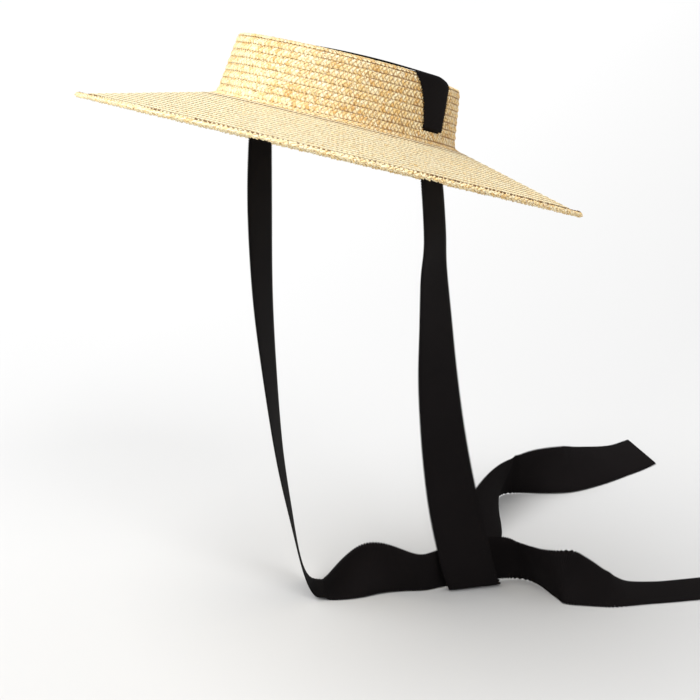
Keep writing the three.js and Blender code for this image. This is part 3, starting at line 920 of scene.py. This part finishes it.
def straw_material(name, finish, warmth=0.0, painted_side_strength=1.0, seam=None, near=None, marks=(0.3, 0.65, 0.55)):
    """Split straw: a tint for each strand, fine fibres along it, flecks, a satin face, painted highlights and
    painted shade.

    marks says how dark the painted shade is where a strand goes under the next one, how dark the knots are,
    and from which noise the painted highlight of glinting straw begins: the lower, the more of it. The rest
    is as for the painted seam shade.
    """
    painted_dip_depth, knots, painted_glint_start = marks
    material, build, shader = new_material(name)
    line, cloud, height = grain(build, attribute(build, "fibre", "Vector"), STRAW_GRAIN)
    place = build.take("ShaderNodeTexCoord", output="Object")
    painted_side_shade = build.vector("DOT_PRODUCT", place, PAINTED_SHADE_SIDE)
    # the shade goes from the palest straw at 0 to brown at 1; the painted side shade pushes it towards gold
    # and brown on the side turned from the key light
    shade = attribute(build, "tint") * 0.8 - 0.06
    shade = shade + (cloud - 0.5) * 0.45 + (line - 0.5) * 0.35 + painted_side_shade * painted_side_strength + warmth
    base = ramp(
        build,
        shade,
        (0.1, finish.straw_pale),
        (0.5, finish.straw_mid),
        (0.8, finish.straw_gold),
        (0.97, finish.straw_knots_and_shade),
    )
    # flecks, knots and a painted highlight of glinting straw: noise scale and detail, how many more towards
    # the painted side shade, its range, share, colour
    for scale, detail, toward_painted_shade, start, stop, amount, tone in (
        (520.0, 1.0, 0.0, 0.57, 0.65, 0.6, finish.straw_gold),
        (760.0, 0.0, 0.6, 0.64, 0.70, knots, finish.straw_knots_and_shade),
        (680.0, 1.0, 0.0, painted_glint_start, painted_glint_start + 0.13, 0.55, finish.straw_painted_glint),
    ):
        spots = ramp(build, painted_side_shade * toward_painted_shade + build.noise(place, scale, detail), (start, 0.0), (stop, 1.0))
        base = mix(build, spots * amount, base, tone)
    lift = attribute(build, "lift")
    # painted shade where a strand goes under the next one, stronger towards the painted side shade
    painted_dip_shade = build.fade(build.math("ABSOLUTE", lift), 0.0, 0.62, painted_dip_depth, 0.0)
    painted_dip_shade = painted_dip_shade * build.clamp(painted_side_shade * 8.0 + 0.8, 0.3, 1.2)
    base = mix(build, painted_dip_shade, base, finish.straw_knots_and_shade)
    # painted shade at the seams, where each row slips under the next
    if seam:
        dark = painted_seam_shade(build, place, painted_side_shade, lift, seam, near)
        base = mix(build, dark, base, finish.straw_knots_and_shade)
    cover(build, shader, base, line * 0.3 + 0.34, height, 0.35, 0.1 * MM)
    shader.inputs["Specular IOR Level"].default_value = 0.4
    return material


def ribbon_material(finish):
    """Black grosgrain: crests lightened with dust and a painted highlight, threads along the ribs and a dull
    face.
    """
    material, build, shader = new_material("grosgrain")
    cloth, crest = attribute(build, "cloth", "Vector"), attribute(build, "crest")
    line, cloud, height = grain(build, cloth, RIBBON_GRAIN)
    amount = crest + (cloud - 0.5) * 0.8 + (line - 0.5) * 0.6
    base = mix(build, amount, finish.ribbon, finish.ribbon_crest)
    cover(build, shader, base, line * 0.2 + 0.62, height, 0.4, 0.08 * MM)
    shader.inputs["Specular IOR Level"].default_value = 0.035
    return material


def thread_material(finish):
    """Brown thread: a slow change of tone and a twisted grain."""
    material, build, shader = new_material("brown_thread")
    place = build.take("ShaderNodeTexCoord", output="Object")
    line, cloud, height = grain(build, place, THREAD_GRAIN)
    pale = [2.6 * part for part in finish.thread]
    tone = ramp(build, cloud, (0.35, finish.thread), (0.75, pale))
    cover(build, shader, tone, line * 0.3 + 0.45, height, 0.4, 0.1 * MM)
    return material


FLOOR_SHADE_WAY = (0.98, 0.40, 0.0)  # painted shade: the direction in which the floor is painted darker, for light that falls off across the floor


def floor_material():
    """Matt pale paint, seen only from above, painted slowly darker in one direction as painted shade."""
    material, build, shader = new_material("studio_floor")
    place = build.take("ShaderNodeTexCoord", output="Object")
    painted_floor_shade = build.vector("DOT_PRODUCT", place, FLOOR_SHADE_WAY) + 0.5
    tone = ramp(build, build.noise(place, 0.8, 2.0) * 0.1 + painted_floor_shade, (0.0, 0.715), (0.65, 0.635))
    build.put(shader.inputs["Base Color"], tone)
    shader.inputs["Roughness"].default_value = 0.9
    shader.inputs["Specular IOR Level"].default_value = 0.1
    behind = build.take("ShaderNodeNewGeometry", output="Backfacing")
    clear = build.take("ShaderNodeBsdfTransparent")
    both = build.take("ShaderNodeMixShader", {0: behind, 1: build.out(shader), 2: clear})
    out = next(node for node in build.tree.nodes if node.type == "OUTPUT_MATERIAL")
    build.put(out.inputs["Surface"], both)
    return material


# ---------------------------------------------------------------- the ribbon


# Each hanging end: x, y, lowest level over the surface, turn, lean, width (mm and degrees).
LEFT_END = (
    (84.4, 5.7, 426.2, 91, -18, 22), (85, 7.5, 414, 95, -16, 26), (87.5, 10, 388, 103, -9, 37),
    (86, 16, 349, 107, -2, 44), (80, 22.5, 319, 103, 0, 45), (73.3, 33.4, 277, 96, 0, 45),
    (62.8, 50, 225, 86.5, 0, 45), (52.3, 70, 172, 78, 0, 45), (43, 91, 122, 68, 0, 45),
    (36, 110, 81, 56, 0, 45), (31, 126, 47, 49, 3, 45), (29, 138, 18, 50, 4, 45),
    (28, 147.5, 3, 54, 2, 45), (19, 156, 0.6, 56, 0, 45), (-3, 178, 0.6, 53, 0, 45),
    (-25, 208, 0.6, 46, -10, 45), (-43, 249, 0.6, 38, -41, 45), (-68, 300, 0.6, 37, -80, 45),
    (-84, 333, 0.6, 29, -106, 45), (-89, 348, 0.6, 1, -108, 45), (-83, 357, 0.6, -38, -103, 45),
    (-77, 366, 0.6, -50, -94, 45), (-69, 378, 0.6, -46, -82, 45), (-60, 395, 0.6, -36, -69, 45),
    (-58, 407, 0.6, -24, -58, 45), (-57, 426, 0.6, -12, -46, 45), (-56, 448, 0.6, -6, -36, 45),
    (-56, 473, 0.6, -4, -26, 45), (-55, 497, 0.6, -4, -19, 45), (-56, 526, 0.6, -3, -15, 45),
)
RIGHT_END = (
    (-84.1, 5.8, 432.8, 91, -18, 22), (-84.6, 5.5, 421, 93, -16, 24), (-86.5, 5, 395, 99, -8, 33),
    (-88.5, 6, 340, 106, -2, 42), (-90, 10, 270, 113, 0, 45), (-89.5, 17, 200, 120, 0, 45),
    (-87, 25, 130, 127, 0, 45), (-84, 36, 70, 133, 0, 45), (-81, 45, 26, 137, 0, 45),
    (-77, 53, 5, 139, 0, 45), (-69, 62, 0.6, 140, 0, 45), (-54, 74, 0.6, 142, 30, 45),
    (-32, 88, 0.6, 147, 78, 45), (-7, 101, 0.6, 154, 112, 45), (5, 115, 0.8, 160, 110, 45),
    (12, 136, 1.8, 158, 101, 45), (23, 160, 1.8, 148, 99, 45), (36, 177, 1.4, 134, 105, 45),
    (47, 185, 0.6, 111, 113, 45), (57, 185, 0.6, 86, 113, 45), (69, 182, 0.6, 75, 110, 45),
    (84, 178, 0.6, 78, 102, 45), (97, 179, 0.6, 88, 86, 45), (103, 188, 0.6, 101, 53, 45),
    (114, 202, 0.6, 113, 28, 45), (125, 212, 0.6, 126, 17, 45), (131, 221, 0.6, 138, 10, 45),
    (139, 233, 0.6, 143, 3, 45), (156, 255, 0.6, 145, 0, 45), (169, 273, 0.6, 146, 0, 45),
    (187, 300, 0.6, 148, 0, 45), (205, 332, 0.6, 150, 0, 45), (221, 364, 0.6, 152, 0, 45),
)
LEFT_CUT, RIGHT_CUT = -6 * MM, 9 * MM  # how far an edge of each end runs on at its slanting cut
# The crown's ribbon: drop below its middle, width and how far back it lies there (mm).
GATHER = (
    (0, 44, -0.5), (3, 43, 0.3), (6, 41.5, 1.4), (12, 36.3, 3.7),
    (22, 31, 5.8), (36, 26, 6.8), (60, 24, 6.8),
)
LEAVES = 2.9 * MM  # the ribbon leaves the wall this much over the slit's level
ENTERS_DOWN, ENTERS_IN, TAIL = 4.2 * MM, 4 * MM, 1 * MM  # its way through the slit
NUDGE = 0.01  # how far apart the direction of a hanging end is measured, in sections of its table
SKEW_IN, SKEW_OUT, CUT_RUN = 2, 1.2, 0.8  # over how many sections an end is eased in and out, and cut
LENGTH_SAMPLES, CROWN_SAMPLES, SLIT_SAMPLES = 4000, 400, 15  # places at which they are worked out
SELVEDGE_THIN = 0.55  # the selvedges' share of the ribbon's thickness
PER_RIB = 4  # rows of faces for each rib


def through(points, places):
    """A Catmull-Rom curve through the points, at places counted in sections."""
    padded = np.vstack([2 * points[0] - points[1], points, 2 * points[-1] - points[-2]])
    places = np.clip(places, 0, len(points) - 1)
    section = np.minimum(places.astype(int), len(points) - 2)
    t = (places - section)[..., None]
    a, b, c, d = (padded[section + i] for i in range(4))
    bend = (2 * a - 5 * b + 4 * c - d) * t**2
    return 0.5 * (2 * b + (c - a) * t + bend + (3 * b - a - 3 * c + d) * t**3)


def end_surface(table, cut, floor):
    """A hanging end's middle surface, and how many sections it has.

    The surface is a function of the places along it, in sections, and the share across, from -1 to 1.
    """
    table = np.asarray(table, float)
    sections = len(table) - 1

    def laid(places):
        """The middle, the direction across and the half width at these places."""
        values = np.moveaxis(through(table, places), -1, 0)
        (x, y, low), (turn, lean) = values[:3] * MM, np.radians(values[3:5])
        half = values[5] * MM / 2
        across = np.stack([np.cos(turn) * np.cos(lean), np.sin(turn) * np.cos(lean), np.sin(lean)], -1)
        return np.stack([x, y, low + floor + np.abs(across[..., 2]) * half], -1), across, half

    def surface(places, share):
        _, across, half = laid(places)
        ahead, behind = places + NUDGE, places - NUDGE
        gap = np.clip(ahead, 0, sections) - np.clip(behind, 0, sections)
        run = (laid(ahead)[0] - laid(behind)[0]) / gap[..., None]
        speed = np.linalg.norm(run, axis=-1)
        left = sections - places
        eased = smooth(places / SKEW_IN) * smooth(left / SKEW_OUT)
        skew = (run * across).sum(-1) / speed**2 * half * eased
        middle, across, half = laid(np.clip(places - share * skew, 0, sections))
        end = share * cut * (1 - smooth(left / CUT_RUN)) / speed
        return middle + across * (share * half)[..., None] + run * end[..., None]

    return surface, sections


def crown_surface(section, shape, ribbon):
    """The crown ribbon's middle surface, a function as in end_surface but in metres, and its length."""
    side_scale = shape.side_reach / section.mean_reach
    fine = np.linspace(0, section.foot_along, CROWN_SAMPLES)
    ear = np.stack([np.interp(fine, section.along, section.points[:, i]) for i in (0, 1)], 1)
    ear = ear * (side_scale, 1)
    run = np.gradient(ear, axis=0)
    normal = np.stack([-run[:, 1], run[:, 0]], 1)
    normal /= np.linalg.norm(normal, axis=1)[:, None]
    bow = ribbon.bow * np.clip(1 - (ear[:, 0] / section.flat_reach) ** 2, 0, None)
    line = ear + normal * (ribbon.stand + bow)[:, None]
    line = line[line[:, 1] > ribbon.slit_level + LEAVES]
    down = line[-1] - line[-2]
    down /= np.linalg.norm(down)
    inward = np.array([down[1], -down[0]])
    step = np.linspace(0, 1, SLIT_SAMPLES)[1:, None]
    crossing = line[-1] + down * ENTERS_DOWN * step + inward * ENTERS_IN * smooth(step)
    half_line = np.vstack([line, crossing, crossing[-1:] + down * TAIL])
    full = np.vstack([(half_line * (-1, 1))[::-1], half_line[1:]])
    steps = lengths_along(full)
    top = full[:, 1].max()
    drops, widths, backs = np.array(GATHER, float).T * MM

    def surface(places, share):
        x, z = (np.interp(places, steps, full[:, i]) for i in (0, 1))
        below = np.clip(top - z, 0, drops[-1])
        y = np.interp(below, drops, backs) + share * np.interp(below, drops, widths) / 2
        reach = section.mean_reach - section.taper * np.clip(z, 0, shape.crown_height)
        side = reach * side_scale
        front = reach * shape.front_reach / section.mean_reach
        bent = side * (1 - np.sqrt(np.clip(1 - (y / front) ** 2, 0, 1)))
        x = x - np.sign(x) * np.minimum(1, (x / side) ** 2) * bent
        return worn(np.stack([x, y, z], -1), shape)

    return surface, steps[-1]


def tilt(shape):
    """The turn from the level hat to the hat as it is worn."""
    back, left = -shape.tilt_back, shape.tilt_left
    rx = np.array([[1, 0, 0], [0, math.cos(back), -math.sin(back)], [0, math.sin(back), math.cos(back)]])
    ry = np.array([[math.cos(left), 0, math.sin(left)], [0, 1, 0], [-math.sin(left), 0, math.cos(left)]])
    return ry @ rx


STIFF_FOOT = 0.35  # the lowest share of the crown's height, which isn't pressed down


def sunk(points, shape):
    """How far the pressed shoulder of the crown lowers points of the level hat."""
    x, y, z = points[..., 0], points[..., 1], points[..., 2]
    beyond = x * math.cos(shape.sag_turn) + y * math.sin(shape.sag_turn) - shape.sag_start
    high = smooth((z / shape.crown_height - STIFF_FOOT) / (1 - STIFF_FOOT))
    return shape.sag * smooth(beyond / shape.sag_run) * high


def worn(points, shape):
    """Points of the level hat, pressed and tilted as it is worn."""
    turn = tilt(shape)
    return points @ turn.T - sunk(points, shape)[..., None] * turn[:, 2]


def press(piece, shape):
    """Presses the crown's shoulder down in a piece that is already tilted."""
    turn = tilt(shape)
    points = np.empty(len(piece.data.vertices) * 3, np.float32)
    piece.data.vertices.foreach_get("co", points)
    points = points.reshape(-1, 3)
    points = points - sunk(points @ turn, shape)[:, None] * turn[:, 2]
    piece.data.vertices.foreach_set("co", points.astype(np.float32).ravel())


def cloth_strip(name, surface, reach, sizes, material, columns):
    """A closed strip of ribbed ribbon on a middle surface, with looped selvedges, and its length."""
    fine = np.linspace(0, reach, LENGTH_SAMPLES)
    along = lengths_along(surface(fine, np.zeros_like(fine)))
    whole = along[-1]
    rows, step = round(whole / sizes.rib) * PER_RIB + 1, columns + 1
    lengths = np.linspace(0, whole, rows)
    places = np.interp(lengths, along, fine)
    shares = np.linspace(-1, 1, step)
    grid = np.stack([surface(places, np.full(rows, s)) for s in shares], 1)
    run, side = np.gradient(grid, axis=0), np.gradient(grid, axis=1)
    normal = np.cross(run, side)
    normal /= np.linalg.norm(normal, axis=-1)[..., None]
    outwards = side / np.linalg.norm(side, axis=-1)[..., None]
    rib_turn = math.pi * np.arange(rows) / PER_RIB
    crest = 0.5 - 0.5 * np.cos(2 * rib_turn)
    loop = -0.5 * sizes.picot * np.cos(rib_turn)[:, None]
    grid[:, 0] -= outwards[:, 0] * loop
    grid[:, -1] += outwards[:, -1] * loop
    half = (sizes.thick / 2 + sizes.rib_height * crest)[:, None, None]
    half = normal * half * np.where(np.abs(shares) > 0.99, SELVEDGE_THIN, 1.0)[None, :, None]
    points = np.concatenate([(grid + half).reshape(-1, 3), (grid - half).reshape(-1, 3)])
    low = rows * step
    index = np.arange(low).reshape(rows, step)
    a, b, c, d = (part.ravel() for part in (index[:-1, :-1], index[1:, :-1], index[1:, 1:], index[:-1, 1:]))
    quads = [np.stack([a, b, c, d], 1), np.stack([a, d, c, b], 1) + low]
    for line, way in ((index[:, 0], 1), (index[:, -1], -1), (index[0], -1), (index[-1], 1)):
        p, q = line[:-1], line[1:]
        quads.append(np.stack([p, p + low, q + low, q], 1)[:, ::way])
    piece = new_mesh(name, points, np.concatenate(quads))
    mesh = piece.data
    cloth = np.stack([np.repeat(lengths, step), np.tile(shares * sizes.width / 2, rows), np.zeros(low)], 1)
    set_attribute(mesh, "cloth", np.vstack([cloth, cloth]), kind="FLOAT_VECTOR")
    set_attribute(mesh, "crest", np.tile(np.repeat(crest, step), 2))
    lay_out(mesh, cloth, whole, sizes.width)
    mesh.polygons.foreach_set("use_smooth", np.ones(len(mesh.polygons), bool))
    mesh.materials.append(material)
    return piece, whole


END_MARGIN, SIDE_MARGIN = 0.01, 0.04  # of each length of ribbon on its texture map
MAP_WIDE = 2.1  # the ribbon's two faces side by side, in widths, with a little room


def lay_out(mesh, cloth, whole, width):
    """The ribbon's texture map: its two faces in lengths side by side."""
    bands = max(1, round(math.sqrt(whole / (MAP_WIDE * width))))
    band_length = whole / bands
    corners = np.zeros(len(mesh.loops), int)
    mesh.loops.foreach_get("vertex_index", corners)
    starts = np.array([p.loop_start for p in mesh.polygons])
    sizes = np.array([p.loop_total for p in mesh.polygons])
    owner = np.repeat(np.arange(len(starts)), sizes)
    low = len(cloth)
    spot = cloth[corners % low]
    middle = np.add.reduceat(spot[:, 0], starts) / sizes
    under = np.add.reduceat((corners >= low).astype(float), starts) / sizes > 0.75
    band = np.minimum((middle / band_length).astype(int), bands - 1)[owner]
    u = (spot[:, 0] - band * band_length) / band_length * (1 - 2 * END_MARGIN) + END_MARGIN
    side = (spot[:, 1] / width + 0.5) * (1 - 2 * SIDE_MARGIN) + SIDE_MARGIN
    v = (band * 2 + under[owner] + side) / (2 * bands)
    layer = mesh.uv_layers.new(name=BAKE_MAP)
    layer.uv.foreach_set("vector", np.stack([u, v], 1).astype(np.float32).ravel())


# ---------------------------------------------------------------- operators


def declare(piece, node):
    """Attaches a finished piece to the root, and hides the part of the model that it stands for."""
    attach(piece, "root")
    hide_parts(node)


FLOOR_HALF, FLOOR_GAP = 60, 0.3 * MM  # half the floor's side, and its gap under the lowest piece
# Each light: name, where it shines from, how many degrees it spreads over, strength.
LIGHTS = (("key", (-0.7, -1.9, 3.5), 55, 2.8), ("fill", (2.2, -1.0, 1.6), 30, 1.1))
SKY = 0.47  # strength of the even light from all round
EYE, EYE_TURN = (1.1129, -1.2453, 0.3261), (73, 0, 41.43)  # the camera's place, and its turns in degrees
LENS, SENSOR = 113.14, 36  # mm


class SUNHAT_OT_stage(bpy.types.Operator):
    """Sets up the camera, the pale floor and the soft studio light."""

    bl_idname = "sunhat.stage"
    bl_label = "Stage"

    def execute(self, context):
        scene = context.scene
        camera = bpy.data.cameras.new("camera")
        camera.lens, camera.sensor_width = LENS, SENSOR
        camera.clip_start, camera.clip_end = 0.05, 200
        eye = bpy.data.objects.new("camera", camera)
        eye.location = EYE
        eye.rotation_euler = [math.radians(turn) for turn in EYE_TURN]
        scene.collection.objects.link(eye)
        scene.camera = eye
        level = CAD_BOX[0].z - FLOOR_GAP
        corners = ((-1, -1), (1, -1), (1, 1), (-1, 1))
        floor = [(x * FLOOR_HALF, y * FLOOR_HALF, level) for x, y in corners]
        floor = new_mesh("floor", floor, [(0, 1, 2, 3)])
        floor.data.materials.append(floor_material())
        for name, place, spread, power in LIGHTS:
            lamp = bpy.data.lights.new(name, "SUN")
            lamp.angle, lamp.energy = math.radians(spread), power
            holder = bpy.data.objects.new(name, lamp)
            holder.location = place
            holder.rotation_euler = (-holder.location).to_track_quat("-Z", "Y").to_euler()
            scene.collection.objects.link(holder)
        world = bpy.data.worlds.new("studio")
        world.use_nodes = True
        sky = world.node_tree.nodes["Background"]
        sky.inputs["Color"].default_value = (1, 1, 1, 1)
        sky.inputs["Strength"].default_value = SKY
        scene.world = world
        scene.view_settings.view_transform = "Standard"
        return {"FINISHED"}


class SUNHAT_OT_ribbon(bpy.types.Operator):
    """Lays the ribbon over the crown and hangs its two ends."""

    bl_idname = "sunhat.ribbon"
    bl_label = "Ribbon"

    def execute(self, context):
        hat = context.scene.sun_hat
        material = ribbon_material(hat.finish)
        floor = CAD_BOX[0].z
        crown = crown_surface(Section(hat.shape), hat.shape, hat.ribbon)
        # each strip: the solid it stands for, its surface and length, and its faces across
        strips = (
            ("crown_ribbon", crown, 12),
            ("left_tie", end_surface(LEFT_END, LEFT_CUT, floor), 8),
            ("right_tie", end_surface(RIGHT_END, RIGHT_CUT, floor), 8),
        )
        for node, (surface, reach), columns in strips:
            piece, whole = cloth_strip(node + "_cloth", surface, reach, hat.ribbon, material, columns)
            declare(piece, node)
        return {"FINISHED"}


TIP_SHORT = 0.4  # how far before the shoulder the tip's rows end, as a share of a row
INNER_SHARE = 0.56  # the share of the brim's rows in its inner piece
END_BEFORE, END_AFTER = 0.01, 0.15  # the turns by which the row's end begins early and runs on
BRIM_BULGE = 0.25  # the brim's rows are rounded off by this share of the crown's


class SUNHAT_OT_straw(bpy.types.Operator):
    """Sews the plait over the tip, the wall and the brim."""

    bl_idname = "sunhat.straw"
    bl_label = "Straw rows"

    def execute(self, context):
        hat = context.scene.sun_hat
        sizes, section = hat.plait, Section(hat.shape)
        plan = row_plan(section, sizes, hat.ribbon)
        first, step, last, slit_row = plan
        half = sizes.lane * (sizes.lanes + 1) / 2
        seam = half - step
        # the crown's straw has strong painted shade at its seams and where strands go under the next one
        crown = straw_material(
            "plaited_straw_crown", hat.finish,
            seam=(0.95, seam + 0.9 * MM, seam - 0.1 * MM), marks=(0.8, 0.65, 0.55),
        )
        # the brim's painted seam shade is faint, apart from its first seam, next to the crown, where it
        # stands for the shadow where the crown meets the brim
        foot = first + step * (slit_row + 1) + half
        begin, stop = section.reach(foot + step + 2.5 * MM), section.reach(foot + 2 * step - 0.5 * MM)
        # Painted light: the brim's straw is made paler than the crown's, with more painted highlight and a
        # stronger painted side shade, for the brighter light on its upward face.
        brim = straw_material(
            "plaited_straw_brim", hat.finish, warmth=-0.31, painted_side_strength=1.4,
            seam=(0.12, seam + 2.4 * MM, seam + 0.8 * MM),
            near=(0.85, 1.6 * MM, begin, stop, section.oval / section.reach(foot)),
            marks=(0.1, 0.4, 0.48),
        )
        wall_row = math.ceil((section.shoulder_along - first) / step - TIP_SHORT)
        brim_row = slit_row + 2
        middle_row = brim_row + round((last - brim_row) * INNER_SHARE)
        row_end = (last - END_BEFORE, last + END_AFTER)
        on_crown = (crown, sizes.rise, sizes.lean, sizes.bulge)
        on_brim = (brim, sizes.brim_rise, sizes.brim_lean, sizes.bulge * BRIM_BULGE)
        outer = section.points
        tucked = outer - section.brim_up * sizes.tuck
        for name, node, rows, outline, finish in (
            ("crown_tip_straw", "crown_tip", (0, wall_row), outer, on_crown),
            ("crown_wall_straw", "crown_wall", (wall_row, brim_row), outer, on_crown),
            ("brim_inner_straw", "brim", (brim_row, middle_row), outer, on_brim),
            ("brim_outer_straw", "brim", (middle_row, last), outer, on_brim),
            ("brim_end_straw", "brim", row_end, tucked, on_brim),
        ):
            path = row_path(section, sizes, hat.ribbon, plan, rows)
            piece = sew(hat, section, name, path, outline, (sizes.lanes, sizes.lane), finish)
            declare(piece, node)
        return {"FINISHED"}


ROUND_STEPS = 720  # places at which the rim is worked out


class SUNHAT_OT_edge(bpy.types.Operator):
    """Folds a thick plait round the rim of the brim."""

    bl_idname = "sunhat.edge"
    bl_label = "Rim row"

    def execute(self, context):
        hat = context.scene.sun_hat
        sizes, section = hat.plait, Section(hat.shape)
        outline = ring_section(section, hat.shape)
        around = lengths_along(outline)[-1]
        turn = np.linspace(0, 2 * math.pi, ROUND_STEPS + 1)
        wide, deep = section.axes(section.seam[0] + section.brim_out[0] * hat.shape.edge_width / 2)
        speed = np.hypot(wide * np.sin(turn), deep * np.cos(turn))
        lengths = running_sum((speed[1:] + speed[:-1]) / 2 * turn[1])
        whole = lengths[-1]
        pitches = round(whole / sizes.edge_pitch)
        # one pitch more, so that the last unit of plait still has a path
        lengths = np.append(lengths, whole + sizes.edge_pitch)
        turn = np.append(turn, turn[-1] + sizes.edge_pitch / speed[-1]) + math.pi / 2
        places = np.stack([turn, np.full(len(turn), around / 2), np.zeros(len(turn))], 1)
        path = (lengths, places, pitches, whole / pitches)
        straw = straw_material("plaited_straw_edge", hat.finish, warmth=-0.12)
        weave = (sizes.edge_lanes, around / sizes.edge_lanes)
        finish = (straw, sizes.edge_rise, 0.0, 0.0)
        piece = sew(hat, section, "brim_edge_straw", path, outline, weave, finish)
        declare(piece, "brim_edge")
        return {"FINISHED"}


STITCH_SHADE_SIDE = (1.6, 1.0, 0.0)  # painted shade: how much bigger the stitches are for each metre, towards the back left, the side turned from the key light, where they stand for a deeper shadow line


class SUNHAT_OT_stitches(bpy.types.Operator):
    """Stitches the rim row down with thread."""

    bl_idname = "sunhat.stitches"
    bl_label = "Rim stitches"

    def execute(self, context):
        hat = context.scene.sun_hat
        shape, section = hat.shape, Section(hat.shape)
        outline = ring_section(section, shape)
        spot = outline[round(len(outline) * hat.stitch.place / 360)]
        out = spot - outline[:-1].mean(axis=0)
        spot = spot - out / np.linalg.norm(out) * (hat.plait.edge_rise - hat.stitch.stand)
        turn = np.linspace(0, 2 * math.pi, ROUND_STEPS, endpoint=False)
        wider = shape.brim_wider / shape.brim_width * np.maximum(np.cos(turn - shape.wider_turn), 0)
        wide, deep = section.axes(spot[0] + wider * (spot[0] - section.mean_reach))
        path = [wide * np.cos(turn), deep * np.sin(turn), np.full(len(turn), spot[1])]
        tool = new_path("rim_stitches_path", worn(np.stack(path, 1), shape), closed=True)
        unit = stitch_unit("rim_stitches_unit", hat.stitch)
        values = {
            "Unit": unit,
            "Pitch": hat.stitch.pitch,
            "Wander": hat.stitch.wander,
            "Tight Side": STITCH_SHADE_SIDE,
            "Seed": hat.plait.seed,
            "Material": thread_material(hat.finish),
        }
        piece = run_nodes(tool, stitch_tree(), values, "rim_stitches")
        drop(tool, unit)
        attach(piece, "root")
        return {"FINISHED"}


class SUNHAT_PT_panel(bpy.types.Panel):
    """The sun hat's builders and sizes."""

    bl_idname = "SUNHAT_PT_panel"
    bl_label = "Sun hat"
    bl_space_type = "VIEW_3D"
    bl_region_type = "UI"
    bl_category = "Sun hat"

    def draw(self, context):
        for operator in OPERATORS:
            self.layout.operator(operator.bl_idname)
        hat = context.scene.sun_hat
        for group in (hat.shape, hat.plait, hat.ribbon, hat.stitch, hat.finish):
            box = self.layout.box()
            for key in group.__annotations__:
                box.prop(group, key)


OPERATORS = (SUNHAT_OT_stage, SUNHAT_OT_ribbon, SUNHAT_OT_straw, SUNHAT_OT_edge, SUNHAT_OT_stitches)
CLASSES = (HatShape, PlaitSizes, RibbonSizes, StitchSizes, Finishes, SunHat, *OPERATORS, SUNHAT_PT_panel)


def register():
    """Registers the classes and the scene's sizes."""
    for item in CLASSES:
        bpy.utils.register_class(item)
    bpy.types.Scene.sun_hat = bpy.props.PointerProperty(type=SunHat)


def unregister():
    """Takes everything back."""
    del bpy.types.Scene.sun_hat
    for item in reversed(CLASSES):
        bpy.utils.unregister_class(item)


def main():
    """Builds the hat."""
    register()
    bpy.ops.sunhat.stage()
    bpy.ops.sunhat.ribbon()
    bpy.ops.sunhat.straw()
    bpy.ops.sunhat.edge()
    bpy.ops.sunhat.stitches()


if __name__ == "__main__":
    main()
